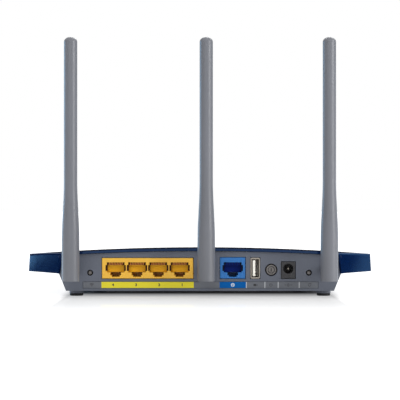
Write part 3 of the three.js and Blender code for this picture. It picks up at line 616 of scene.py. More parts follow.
def extruded(outline: Sequence[Vector], travel: Vector) -> bmesh.types.BMesh:
    """Extrudes a flat outline.

    Args:
        outline: The outline's points, in order.
        travel: How far and which way it is extruded.

    Returns:
        The closed prism.
    """
    bm = bmesh.new()
    bm.faces.new([bm.verts.new(p) for p in outline])
    return clean(grown(bm, travel))


def merged(parts: Iterable[bmesh.types.BMesh]) -> bmesh.types.BMesh:
    """Puts several meshes into one and frees them."""
    whole = bmesh.new()
    for part in parts:
        spare = mesh_of(part)
        whole.from_mesh(spare)
        bpy.data.meshes.remove(spare)
    return whole


def bevel_edges(
    bm: bmesh.types.BMesh, width_mm: float, segments: int = 2, sharper_than: float = 35.0
) -> bmesh.types.BMesh:
    """Rounds the edges where faces meet at more than an angle.

    Args:
        bm: The mesh to round.
        width_mm: The bevel's width in millimetres.
        segments: Strips across the bevel.
        sharper_than: The least angle between two faces that counts, in degrees.

    Returns:
        The same mesh.
    """
    limit = math.radians(sharper_than)
    edges = [e for e in bm.edges if e.is_manifold and e.calc_face_angle(0.0) > limit]
    bmesh.ops.bevel(
        bm,
        geom=edges,
        offset=width_mm * MM,
        offset_type="OFFSET",
        segments=segments,
        profile=0.5,
        affect="EDGES",
        clamp_overlap=True,
        material=-1,
    )
    return bm


def carve(bm: bmesh.types.BMesh, cutter: bmesh.types.BMesh) -> bmesh.types.BMesh:
    """Cuts one closed mesh out of another and frees both.

    Args:
        bm: The mesh that is cut.
        cutter: What is cut away.

    Returns:
        What is left.
    """
    body, tool = (placed("spare", mesh_of(part)) for part in (bm, cutter))
    cut = body.modifiers.new("cut", "BOOLEAN")
    cut.operation = "DIFFERENCE"
    cut.solver = "EXACT"
    cut.use_self = True
    cut.object = tool
    graph = bpy.context.evaluated_depsgraph_get()
    left = bpy.data.meshes.new_from_object(body.evaluated_get(graph))
    result = bmesh.new()
    result.from_mesh(left)
    for spare in (body, tool):
        mesh = spare.data
        bpy.data.objects.remove(spare)
        bpy.data.meshes.remove(mesh)
    bpy.data.meshes.remove(left)
    bmesh.ops.remove_doubles(result, verts=result.verts, dist=SAME_POINT)
    return result


def copied(node: str, flat_within: float = 0.4) -> bmesh.types.BMesh:
    """Copies a CAD node's mesh, merged, with each flat stretch made one face.

    Args:
        node: The CAD node.
        flat_within: Angle in degrees under which neighbouring faces count as one.

    Returns:
        The copy.
    """
    bm = bmesh.new()
    bm.from_mesh(cad_nodes()[node].data)
    bmesh.ops.remove_doubles(bm, verts=bm.verts, dist=2e-6)
    bmesh.ops.dissolve_limit(
        bm,
        angle_limit=math.radians(flat_within),
        use_dissolve_boundaries=False,
        verts=bm.verts,
        edges=bm.edges,
    )
    return bm


def piece(
    name: str,
    bm: bmesh.types.BMesh,
    finish: Finish,
    body: str = HOUSING,
    stands_for: Sequence[str] = (),
    smooth_under: float = 32.0,
) -> bpy.types.Object:
    """Makes a mesh a finished piece that rides on a CAD body.

    Args:
        name: The piece's name.
        bm: Its mesh, which is freed.
        finish: Its finish.
        body: The CAD body it moves with.
        stands_for: CAD nodes that it is shown in place of.
        smooth_under: Faces that meet at less than this many degrees shade as one.

    Returns:
        The new object.
    """
    mesh = mesh_of(bm, name)
    mesh.shade_smooth()
    mesh.set_sharp_from_angle(angle=math.radians(smooth_under))
    made = placed(name, mesh)
    mesh.materials.append(PAINT[finish])
    flats = made.modifiers.new("flat faces stay flat", "WEIGHTED_NORMAL")
    flats.mode = "FACE_AREA"
    flats.weight = 80
    flats.keep_sharp = True
    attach(made, body)
    if stands_for:
        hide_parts(*stands_for)
    LOG.info("%s: %d faces, on %s", name, len(mesh.polygons), body)
    return made


def dress(finish: Finish, *nodes: str) -> None:
    """Gives CAD nodes a finish.

    Args:
        finish: The finish.
        *nodes: The nodes' names.
    """
    material = PAINT[finish]
    for node in nodes:
        mesh = cad_nodes()[node].data
        mesh.materials.clear()
        mesh.materials.append(material)
        LOG.info("%s: CAD node, %s", node, material.name)


# ------------------------------------------------------------------ housing


@dataclass
class TopCover:
    """The gloss cover: an arched shell with swept wings and a bowed front edge."""

    rear_lip: float = 2.0 * MM
    corner_reach: float = 0.3 * MM  # lower rear corners past the panel's ends
    wing_reach: float = 24.5 * MM
    wing_sweep: float = 38.0 * MM
    front_taper: float = 13.5 * MM
    front_radius: float = 700.0 * MM
    arch_radius: float = 1580.0 * MM
    front_drop: float = 14.5 * MM
    drop_start: float = 20.0 * MM
    skirt_rise: float = 5.6 * MM  # rear bottom edge above the front one
    wing_rise: float = 1.3 * MM
    lean_rear: float = 1.9 * MM  # top outline inside the bottom one at the rear corners
    lean_tip: float = 0.4 * MM  # and at the wing tips
    lean_front: float = 0.45 * MM  # and along the front edge
    wall: float = 1.6 * MM
    columns: int = 80
    wing_rows: int = 14
    main_rows: int = 48
    low: Vector = field(default_factory=Vector)
    high: Vector = field(default_factory=Vector)

    def __post_init__(self) -> None:
        """Takes the CAD cover's box."""
        self.low, self.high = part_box("top_cover")

    @property
    def panel_y(self) -> float:
        """The rear panel's outer face."""
        return self.low.y + self.rear_lip

    @property
    def panel_half(self) -> float:
        """Half the rear panel's width."""
        return self.high.x - self.wing_reach

    @property
    def tip_y(self) -> float:
        """The wing tips' place along the case."""
        return self.low.y + self.wing_sweep

    def top(self, x: float, y: float) -> float:
        """Height of the cover's outer face.

        Args:
            x: Place across the case.
            y: Place along it.

        Returns:
            The height in metres.
        """
        arch = self.arch_radius - math.sqrt(self.arch_radius**2 - x * x)
        run = self.high.y - self.panel_y - self.drop_start
        t = max(0.0, y - self.panel_y - self.drop_start) / run
        return self.high.z - arch - self.front_drop * t * t

    def bottom(self, x: float, y: float) -> float:
        """Height of the skirt's lower edge.

        Args:
            x: Place across the case.
            y: Place along it.

        Returns:
            The height in metres.
        """
        depth = self.high.y - self.panel_y
        fall = self.skirt_rise * max(0.0, y - self.panel_y) / depth
        out = max(0.0, abs(x) - self.panel_half) / self.wing_reach
        return self.low.z + self.skirt_rise - fall + self.wing_rise * out

    def bow(self, x: float) -> float:
        """The bowed front edge's place along the case, at a place across it."""
        return self.high.y - self.front_radius + math.sqrt(self.front_radius**2 - x * x)

    def side(self, y: float) -> float:
        """Half the cover's width at a place along it."""
        rear_half = self.panel_half + self.corner_reach
        if y < self.tip_y:
            t = (y - self.low.y) / self.wing_sweep
            return rear_half + (self.high.x - rear_half) * t
        t = (y - self.tip_y) / (self.high.y - self.tip_y)
        return self.high.x - self.front_taper * t

    def front_corner(self) -> tuple[float, float]:
        """Finds where the side line meets the bow."""
        y = self.high.y
        for _ in range(20):
            y = self.bow(self.side(y))
        return self.side(y), y

    def wing_shift(self, y: float) -> tuple[float, float]:
        """Says how far the wing's upper edge stands inside its lower one, so its face is flat.

        Args:
            y: Place along the wing.

        Returns:
            The shift towards the middle, and the shift towards the front.
        """
        rear_half = self.side(self.low.y)
        out = Vector((self.wing_sweep, rear_half - self.high.x)).normalized()

        def height(at: float) -> float:
            x = self.side(at)
            return self.top(x, at) - self.wall - self.bottom(x, at)

        t = (y - self.low.y) / self.wing_sweep
        inward = self.lean_rear + (self.lean_tip - self.lean_rear) * t
        slope = out.x * self.lean_rear / height(self.low.y)
        return inward, (slope * height(y) - out.x * inward) / -out.y

    def lean(self, x: float, y: float) -> tuple[float, float]:
        """Says how far the upper outline stands inside the lower one.

        Args:
            x: Place across the case.
            y: Place along it.

        Returns:
            The shift towards the middle, and the shift towards the front.
        """
        near_side = min(1.0, abs(x) / self.side(y)) ** 3
        if y < self.tip_y:
            inward, forward = self.wing_shift(y)
            return inward * near_side, forward * near_side
        t = (y - self.tip_y) / (self.high.y - self.tip_y)
        inward, forward = self.wing_shift(self.tip_y)
        return inward * near_side, forward * near_side * (1 - t) - self.lean_front * t

    def surface(self) -> bmesh.types.BMesh:
        """Lays a grid over the plan, and lifts it to the arch."""
        rows = self.wing_rows + self.main_rows
        corner_x, corner_y = self.front_corner()
        bm = bmesh.new()
        bmesh.ops.create_grid(bm, x_segments=self.columns, y_segments=rows, size=1)
        split = self.wing_rows / rows
        for vert in bm.verts:
            u, v = vert.co.x, (vert.co.y + 1) / 2
            if v <= split + 1e-6:
                y = self.low.y + self.wing_sweep * v / split
                x = u * self.side(y)
            else:
                t = (v - split) / (1 - split)
                x = u * self.side(self.tip_y + (corner_y - self.tip_y) * t)
                y = self.tip_y + (self.bow(u * corner_x) - self.tip_y) * t
            vert.co = Vector((x, y, self.top(x, y)))
        return bm

    def shell(self) -> bmesh.types.BMesh:
        """Adds the lip and the skirt, draws the top in by the draft, and gives it a wall."""
        bm = self.surface()
        rim = [e for e in bm.edges if e.is_boundary]
        lip = bmesh.ops.extrude_edge_only(bm, edges=rim)["geom"]
        lip_verts = [g for g in lip if isinstance(g, bmesh.types.BMVert)]
        bmesh.ops.translate(bm, verts=lip_verts, vec=(0, 0, -self.wall))
        rear = self.low.y + 1e-5
        lip_edges = [
            g
            for g in lip
            if isinstance(g, bmesh.types.BMEdge) and max(v.co.y for v in g.verts) > rear
        ]
        skirt = bmesh.ops.extrude_edge_only(bm, edges=lip_edges)["geom"]
        skirt_verts = [g for g in skirt if isinstance(g, bmesh.types.BMVert)]
        for vert in skirt_verts:
            vert.co.z = self.bottom(vert.co.x, vert.co.y)
        bmesh.ops.recalc_face_normals(bm, faces=bm.faces)
        if sum(f.normal.z for f in bm.faces) < 0:
            bmesh.ops.reverse_faces(bm, faces=bm.faces)
        for vert in set(bm.verts) - set(skirt_verts):
            x, y, z = vert.co
            inward, forward = self.lean(x, y)
            moved = (x - math.copysign(inward, x), y + forward)
            vert.co = Vector((*moved, z + self.top(*moved) - self.top(x, y)))
        bmesh.ops.solidify(bm, geom=bm.faces[:], thickness=self.wall)
        return bm

    def wing_face(self, side: int) -> tuple[Vector, Vector, Vector, Vector]:
        """Gives the corners of a wing's flat face: lower rear and tip, upper rear and tip.

        Args:
            side: -1 for the left wing, 1 for the right one.

        Returns:
            The four corners.
        """
        lower, upper = [], []
        for y in (self.low.y, self.tip_y - 1e-6):
            x = side * self.side(y)
            inward, forward = self.lean(x, y)
            lower.append(Vector((x, y, self.bottom(x, y))))
            moved = (x - side * inward, y + forward)
            upper.append(Vector((*moved, self.top(*moved) - self.wall)))
        return (*lower, *upper)

    def slots(self) -> bmesh.types.BMesh:
        """Makes the cutter for the row of light slots, one over each prong of the guide."""
        low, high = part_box("light_guide")
        count = 9
        width, length = 1.6 * MM, 3.4 * MM
        middle_y = (low.y + high.y) / 2
        pitch = (high.x - low.x - width) / (count - 1)
        first = low.x + width / 2
        half = Vector((width / 2, length / 2, 0))
        cells = []
        for i in range(count):
            at = Vector((first + i * pitch, middle_y, 0))
            lift = Vector((0, 0, self.high.z))
            cells.append(brick(at - half + Vector((0, 0, low.z)), at + half + lift))
        return merged(cells)

    def build(self) -> None:
        """Builds the cover."""
        shell = bevel_edges(self.shell(), 0.4, 3, 40)
        shell = carve(shell, self.slots())
        piece("cover_moulding", shell, Finish.COVER, stands_for=["top_cover"])


@dataclass
class LowerCase:
    """The grey tub with its rear panel, its feet and its screws."""

    edge_mm: float = 0.35
    foot_round: float = 0.6 * MM

    def build(self) -> None:
        """Builds the tub, the feet and the screws."""
        tub = bevel_edges(copied("bottom_case"), self.edge_mm, 2, 40)
        piece("case_moulding", tub, Finish.CASE, stands_for=["bottom_case"])
        for corner in ("rear_left", "rear_right", "front_left", "front_right"):
            self.foot(corner)
            self.screw(corner)

    def foot(self, corner: str) -> None:
        """Turns one rubber foot, rounded where it meets the table.

        Args:
            corner: Which foot.
        """
        node = f"foot_{corner}"
        low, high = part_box(node)
        middle = centre_of(node)
        radius = (high.x - low.x) / 2
        height = high.z - low.z
        r = self.foot_round
        arc = [
            (radius - r + r * math.sin(a), r - r * math.cos(a))
            for a in (math.radians(d) for d in (0, 22, 45, 68, 90))
        ]
        profile = [(0, 0), *arc, (radius, height - 0.9 * MM), (0, height - 0.9 * MM)]
        centre = Vector((middle.x, middle.y, low.z))
        mesh = turned(profile, Along.Z, centre)
        piece(f"{node}_pad", mesh, Finish.RUBBER, stands_for=[node])

    def screw(self, corner: str) -> None:
        """Turns one pan-head screw and presses a cross into its head.

        Args:
            corner: Which screw.
        """
        node = f"case_screw_{corner}"
        low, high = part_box(node)
        middle = centre_of(node)
        head = (high.x - low.x) / 2
        centre = Vector((middle.x, middle.y, low.z))
        length = high.z - low.z
        shank, head_t = 1.3 * MM, 1.9 * MM
        crown = round_points(head, head_t * 0.6, (0, 20, 40, 60, 78))
        profile = [*crown, (head, head_t), (shank, head_t), (shank, length - 1 * MM), (0, length)]
        mesh = turned(profile, Along.Z, centre, 32)
        bar = Vector((1.5 * MM, 0.28 * MM, 1.0 * MM))
        arms = merged(brick(centre - arm, centre + arm) for arm in (bar, bar.yxz))
        cross = carve(mesh, arms)
        piece(f"{node}_head", cross, Finish.ZINC, stands_for=[node])


# ------------------------------------------------------------------ sockets


@dataclass
class ModularSockets:
    """A row of network sockets: housing, comb over the contacts, and the contacts, with painted
    shade and painted light in the comb, carrier and dark blocks.
    """

    housing: str
    contacts: str
    ports: int
    finish: Finish
    inner: Finish
    comb: Finish
    # The finish of the dark blocks of painted shade over the comb and in the windows.
    shade_bed: Finish
    slot: str
    pitch: float = 14.7 * MM
    floor: float = 4.2 * MM  # opening above the housing's underside
    opening: tuple[float, float] = (12.3 * MM, 7.0 * MM)
    latch: tuple[float, float] = (7.4 * MM, 2.0 * MM)
    tab: tuple[float, float] = (5.4 * MM, 1.1 * MM)
    ear: tuple[float, float] = (14.1 * MM, 4.1 * MM)
    ear_drop: float = 1.9 * MM  # ears below the opening's roof
    ear_depth: float = 5.0 * MM
    ear_inner: float = 0.35 * MM  # how far the window's block shows inside the opening
    depth: float = 12.6 * MM
    contact_count: int = 8
    contact_pitch: float = 1.1 * MM
    carrier_set: float = 4.6 * MM  # carrier behind the housing's face
    comb_drop: float = 2.0 * MM
    comb_tooth: float = 0.5 * MM
    comb_front: float = 0.6 * MM
    comb_slant: float = 0.2 * MM
    comb_depth: float = 2.6 * MM
    # A dark block of painted shade sits behind the comb's teeth: its front, depth and side gap.
    shade_bed_front: float = 1.1 * MM
    shade_bed_depth: float = 3.4 * MM
    shade_bed_gap: float = 0.2 * MM  # bed inside the opening's sides
    carrier_wall: float = 1.5 * MM
    carrier_gap: float = 0.1 * MM
    spring_wire: tuple[float, float] = (0.46 * MM, 0.25 * MM)  # width and thickness

    @property
    def face(self) -> Vector:
        """The housing's lower front corner on the left."""
        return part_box(self.housing)[0]

    @property
    def roof(self) -> float:
        """The height of the openings' roof."""
        return self.face.z + self.floor + self.opening[1]

    def port_places(self) -> list[float]:
        """Gives the middle of each port."""
        middle = centre_of(self.housing).x
        return [middle + (i - (self.ports - 1) / 2) * self.pitch for i in range(self.ports)]

    def build(self) -> None:
        """Builds the housing, the combs, and the contacts in their carrier."""
        low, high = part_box(self.housing)
        body = bevel_edges(brick(low, high), 0.25, 2, 40)
        body = carve(body, merged(self.opening_steps()))
        piece(f"{self.housing}_moulding", body, self.finish, stands_for=[self.housing])
        # The comb's finish is darker than the housing's: painted shade.
        combs = merged(self.tooth(x, i) for x in self.port_places() for i in range(9))
        piece(f"{self.housing}_comb", combs, self.comb)
        # Dark blocks of painted shade behind the comb and in the side windows.
        painted_shade_blocks = merged(b for x in self.port_places() for b in self.painted_shade_blocks(x))
        piece(f"{self.housing}_liners", painted_shade_blocks, self.shade_bed)
        # The carrier's finish: painted light in the yellow sockets, painted shade in the blue one.
        carrier = merged(self.carrier(x) for x in self.port_places())
        piece(f"{self.contacts}_carrier", carrier, self.inner)
        springs = merged(
            self.spring(x, i) for x in self.port_places() for i in range(self.contact_count)
        )
        name, node = f"{self.contacts}_springs", self.contacts
        piece(name, springs, Finish.GOLD, stands_for=[node])

    def opening_steps(self) -> list[bmesh.types.BMesh]:
        """Makes the cutters for each port: mouth, latch, tab and the windows at its sides."""
        cuts = []
        bottom = self.roof - self.opening[1]
        latch_bottom = bottom - self.latch[1]
        ear_top = self.roof - self.ear_drop
        for x in self.port_places():
            for width, low, high, depth in (
                (self.opening[0], bottom, self.roof, self.depth),
                (self.latch[0], latch_bottom, bottom + MM, self.depth),
                (self.tab[0], latch_bottom - self.tab[1], bottom, self.depth),
                (self.ear[0], ear_top - self.ear[1], ear_top, self.ear_depth),
            ):
                corner = Vector((x - width / 2, self.face.y - MM, low))
                cuts.append(brick(corner, Vector((x + width / 2, self.face.y + depth, high))))
        return cuts

    def tooth(self, x: float, place: int) -> bmesh.types.BMesh:
        """Makes one slanted tooth of a port's comb, hanging from the opening's roof.

        Args:
            x: The port's middle.
            place: Which tooth, from the left.

        Returns:
            The tooth's mesh.
        """
        middle = x + (place - self.contact_count / 2) * self.contact_pitch
        front = self.face.y + self.comb_front
        half = self.comb_tooth / 2
        slant = self.comb_slant
        outline = [
            Vector((middle - half + slant, front, self.roof + 0.1 * MM)),
            Vector((middle + half + slant, front, self.roof + 0.1 * MM)),
            Vector((middle + half - slant, front, self.roof - self.comb_drop)),
            Vector((middle - half - slant, front, self.roof - self.comb_drop)),
        ]
        return extruded(outline, Vector((0, self.comb_depth, 0)))

    def painted_shade_blocks(self, x: float) -> list[bmesh.types.BMesh]:
        """Makes the dark blocks of painted shade over one port's comb and in its side windows.

        Args:
            x: The port's middle.

        Returns:
            The three blocks' meshes.
        """
        half = self.opening[0] / 2
        front = self.face.y + self.shade_bed_front
        ear_top = self.roof - self.ear_drop
        shade_bed = half - self.shade_bed_gap
        blocks = [(-shade_bed, shade_bed, self.roof - self.comb_drop, self.roof)]
        for side in (-1, 1):
            ends = sorted((side * self.ear[0] / 2, side * (half - self.ear_inner)))
            blocks.append((*ends, ear_top - self.ear[1], ear_top))
        return [
            brick(Vector((x + a, front, low)), Vector((x + b, front + self.shade_bed_depth, high)))
            for a, b, low, high in blocks
        ]

    def carrier(self, x: float) -> bmesh.types.BMesh:
        """Makes the carrier behind one port's contacts: a wall across the opening.

        Args:
            x: The port's middle.

        Returns:
            The carrier's mesh.
        """
        half = self.opening[0] / 2 - self.carrier_gap
        bottom = self.roof - self.opening[1] + self.carrier_gap
        back = self.face.y + self.carrier_set
        corner = Vector((x + half, back + self.carrier_wall, self.roof))
        return bevel_edges(brick(Vector((x - half, back, bottom)), corner), 0.2, 2, 40)

    def spring(self, x: float, place: int) -> bmesh.types.BMesh:
        """Bends one contact spring down from the roof towards the back.

        Args:
            x: The port's middle.
            place: Which contact, from the left.

        Returns:
            The spring's mesh.
        """
        width, thick = self.spring_wire
        left = x + (place - (self.contact_count - 1) / 2) * self.contact_pitch - width / 2
        y, top = self.face.y, self.roof - 0.15 * MM
        path = [(1.9, 0.0), (1.6, 0.45), (2.0, 0.9), (9.5, 3.2)]  # back and down, in millimetres
        inside = [(1, 0), (1, 0), (0.5, 0.7), (0, 1)]  # way to the inner face, in thicknesses
        outer = [Vector((left, y + a * MM, top - d * MM)) for a, d in path]
        inner = [p + Vector((0, a * thick, d * thick)) for p, (a, d) in zip(outer, inside)]
        return extruded([*outer, *reversed(inner)], Vector((width, 0, 0)))


@dataclass
class UsbSocket:
    """The upright USB socket: shell, tongue, and four contacts that bow out of the tongue."""

    contact_pitch: float = 2.6 * MM
    contact_width: float = 1.2 * MM
    wall: float = 0.4 * MM
    flange: float = 0.5 * MM
    flange_side: float = 0.3 * MM  # flange past the tube
    flange_end: float = 0.5 * MM
    notch: float = 0.9 * MM
    tongue: float = 1.84 * MM
    tongue_height: float = 11.1 * MM
    block: float = 3.0 * MM
    tongue_inset: float = 0.5 * MM  # tongue from the carrier's left side
    bow: float = 0.75 * MM
    contact_front: float = 0.5 * MM  # contacts from the tongue's tip
    contact_back: float = 2.2 * MM
    contact_wire: float = 0.2 * MM

    def build(self) -> None:
        """Builds the socket."""
        shell, tongue = self.shell(), merged(self.carrier())
        piece("usb_shell_stamping", shell, Finish.NICKEL, stands_for=["usb_shell"])
        name, node = "usb_tongue_moulding", "usb_tongue"
        piece(name, tongue, Finish.CREAM, stands_for=[node])
        # The contacts are painted dark: painted shade of the socket's inside.
        piece("usb_contacts", self.springs(), Finish.PAINTED_SHADE_CONTACT_METAL)

    def shell(self) -> bmesh.types.BMesh:
        """Folds the shell: a tube with a flange at its mouth, notched at the corners."""
        low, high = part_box("usb_shell")
        wall, flange, notch = self.wall, self.flange, self.notch
        inset = Vector((self.flange_side, 0, self.flange_end))
        tube_low, tube_high = low + inset, high - inset
        front = brick(low, Vector((high.x, low.y + flange, high.z)))
        corners = [
            brick(
                Vector((x - notch / 2, low.y - MM, z - notch / 2)),
                Vector((x + notch / 2, low.y + flange, z + notch / 2)),
            )
            for x in (low.x, high.x)
            for z in (low.z, high.z)
        ]
        front = bevel_edges(carve(front, merged(corners)), 0.12, 2, 40)
        wall_in = Vector((wall, -MM, wall))
        mouth = brick(tube_low + wall_in, tube_high - wall_in)
        tube = carve(brick(tube_low + Vector((0, flange / 2, 0)), tube_high), mouth)
        mouth = brick(tube_low + wall_in, tube_high - wall_in)
        return merged([carve(front, mouth), tube])

    def carrier(self) -> list[bmesh.types.BMesh]:
        """Makes the tongue, rounded at its end, and the block that it grows from."""
        low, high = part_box("usb_tongue")
        middle = centre_of("usb_tongue").z
        left = low.x + self.tongue_inset
        half = self.tongue_height / 2
        tongue = brick(
            Vector((left, low.y, middle - half)),
            Vector((left + self.tongue, high.y - MM, middle + half)),
        )
        block = brick(Vector((low.x, high.y - self.block, low.z)), high)
        return [bevel_edges(tongue, 0.3, 3, 40), bevel_edges(block, 0.1, 1, 40)]

    def springs(self) -> bmesh.types.BMesh:
        """Bends the four contacts along the tongue's open side."""
        low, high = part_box("usb_tongue")
        face = low.x + self.tongue_inset + self.tongue
        front, back = low.y + self.contact_front, high.y - self.contact_back
        run = back - front
        sunk = 0.1 * MM
        bowed = [(front + share * run, self.bow) for share in (0.12, 0.3)]
        outer = [(front, 0.0), *bowed, (back, sunk)]
        inner = [(y, max(x - self.contact_wire, -sunk)) for y, x in reversed(outer)]
        parts = []
        for i in range(4):
            z = centre_of("usb_tongue").z + (i - 1.5) * self.contact_pitch - self.contact_width / 2
            outline = [Vector((face + x, y, z)) for y, x in (*outer, *inner)]
            parts.append(extruded(outline, Vector((0, 0, self.contact_width))))
        return merged(parts)


@dataclass
class PowerInlet:
    """The square power inlet with its round bore and centre pin."""

    bore: float = 3.2 * MM
    mouth: float = 3.55 * MM
    depth: float = 11.0 * MM
    lip: float = 0.12 * MM
    funnel: float = 0.7 * MM  # where the mouth has narrowed to the bore
    pin_dome: float = 1.3  # length of the pin's round end in radii

    def build(self) -> None:
        """Builds the inlet."""
        low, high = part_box("dc_jack")
        axis = centre_of("dc_jack_pin")
        block = bevel_edges(brick(low, high), 0.3, 2, 40)
        centre = Vector((axis.x, low.y, axis.z))
        profile = [
            (0, -MM),
            (self.mouth, -MM),
            (self.mouth, self.lip),
            (self.bore, self.funnel),
            (self.bore, self.depth),
            (0, self.depth),
        ]
        body = carve(block, turned(profile, Along.Y, centre, 56))
        piece("inlet_moulding", body, Finish.BLACK, stands_for=["dc_jack"])
        pin_low, pin_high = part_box("dc_jack_pin")
        radius = (pin_high.x - pin_low.x) / 2
        length = pin_high.y - pin_low.y
        dome = round_points(radius, radius * self.pin_dome, (0, 20, 40, 60, 80, 90))
        start = Vector((axis.x, pin_low.y, axis.z))
        pin = turned([*dome, (radius, length), (0, length)], Along.Y, start)
        piece("inlet_pin", pin, Finish.NICKEL, stands_for=["dc_jack_pin"])


# ------------------------------------------------------------------ buttons


def arc_strip(
    centre: Vector, inner: float, outer: float, start: float, sweep: float, steps: int = 32
) -> bmesh.types.BMesh:
    """Sweeps a short line into a flat arc or ring that faces the rear.

    Args:
        centre: The arc's centre.
        inner: Inner radius.
        outer: Outer radius.
        start: Start angle in degrees from +X towards +Z.
        sweep: Swept angle in degrees.
        steps: Pieces round the arc.

    Returns:
        The flat strip, with a little thickness.
    """
    bm = bmesh.new()
    a = math.radians(start)
    ray = Vector((math.cos(a), 0, math.sin(a)))
    ends = [bm.verts.new(centre + ray * r) for r in (inner, outer)]
    edge = bm.edges.new(ends)
    full = abs(sweep) >= 360
    bmesh.ops.spin(
        bm,
        geom=[*ends, edge],
        cent=centre,
        axis=Vector((0, -1, 0)),
        angle=math.radians(sweep),
        steps=steps,
        use_merge=full,
    )
    bmesh.ops.remove_doubles(bm, verts=bm.verts, dist=SAME_POINT)
    grown(bm, Vector((0, INK_T, 0)))
    bmesh.ops.recalc_face_normals(bm, faces=bm.faces)
    return bm


def bar(centre: Vector, width: float, height: float) -> bmesh.types.BMesh:
    """Makes a flat bar that faces the rear.

    Args:
        centre: Its middle.
        width: Its width across the case.
        height: Its height.

    Returns:
        The bar's mesh.
    """
    half = Vector((width / 2, 0, height / 2))
    return brick(centre - half, centre + half + Vector((0, INK_T, 0)))


@dataclass
class Buttons:
    """The round power button with its mark, and the two small recessed buttons."""

    mark_radius: float = 2.45 * MM
    mark_line: float = 0.5 * MM
    stroke: tuple[float, float] = (0.75 * MM, 2.4 * MM)
    mark_set: float = 0.47 * MM  # the mark behind the cap's rim
    rim: float = 0.42 * MM
    dish: tuple[float, float] = (0.55 * MM, 0.5 * MM)  # its depth in the middle and at the rim
    power_back: float = 6.4 * MM
    power_stem: float = 1.5 * MM
    small_dome: float = 0.5 * MM
    small_back: float = 4.8 * MM
    small_stem: float = 0.9 * MM

    def build(self) -> None:
        """Builds the three buttons and dresses their switches."""
        self.power()
        for name in ("wifi", "reset"):
            self.small(name)
        dress(Finish.CHIP, "power_switch", "wifi_switch", "reset_switch")

    def power(self) -> None:
        """Turns the power button, dished inside a rolled rim, and prints its mark."""
        low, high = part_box("power_button")
        middle = centre_of("power_button")
        radius = (high.x - low.x) / 2
        centre = Vector((middle.x, low.y, middle.z))
        rim = self.rim
        roll = [
            (radius - rim - rim * math.cos(a), rim - rim * math.sin(a))
            for a in (math.radians(d) for d in (0, 30, 60, 90, 120, 150, 180))
        ]
        dish = [(0, self.dish[0]), (radius - 2.6 * rim, self.dish[1])]
        length = high.y - low.y
        back, stem = self.power_back, self.power_stem
        profile = [*dish, *roll, (radius, back), (stem, back), (stem, length), (0, length)]
        cap, node = turned(profile, Along.Y, centre), "power_button"
        piece("power_button_cap", cap, Finish.BUTTON, node, [node])
        face = centre + Vector((0, self.mark_set, 0))
        ring = arc_strip(face, self.mark_radius - self.mark_line, self.mark_radius, 0, 360, 48)
        mark = merged([ring, bar(face, *self.stroke)])
        piece("power_mark", mark, Finish.INK, node)

    def small(self, name: str) -> None:
        """Turns one small button with a domed end.

        Args:
            name: Which of the two.
        """
        node = f"{name}_button"
        low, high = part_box(node)
        middle = centre_of(node)
        radius = (high.x - low.x) / 2
        dome = round_points(radius, self.small_dome, (0, 18, 36, 54, 72, 90))
        length = high.y - low.y
        back, stem = self.small_back, self.small_stem
        profile = [*dome, (radius, back), (stem, back), (stem, length), (0, length)]
        mesh = turned(profile, Along.Y, Vector((middle.x, low.y, middle.z)), 32)
        piece(f"{node}_cap", mesh, Finish.BUTTON, node, [node])


# ------------------------------------------------------------------ labels


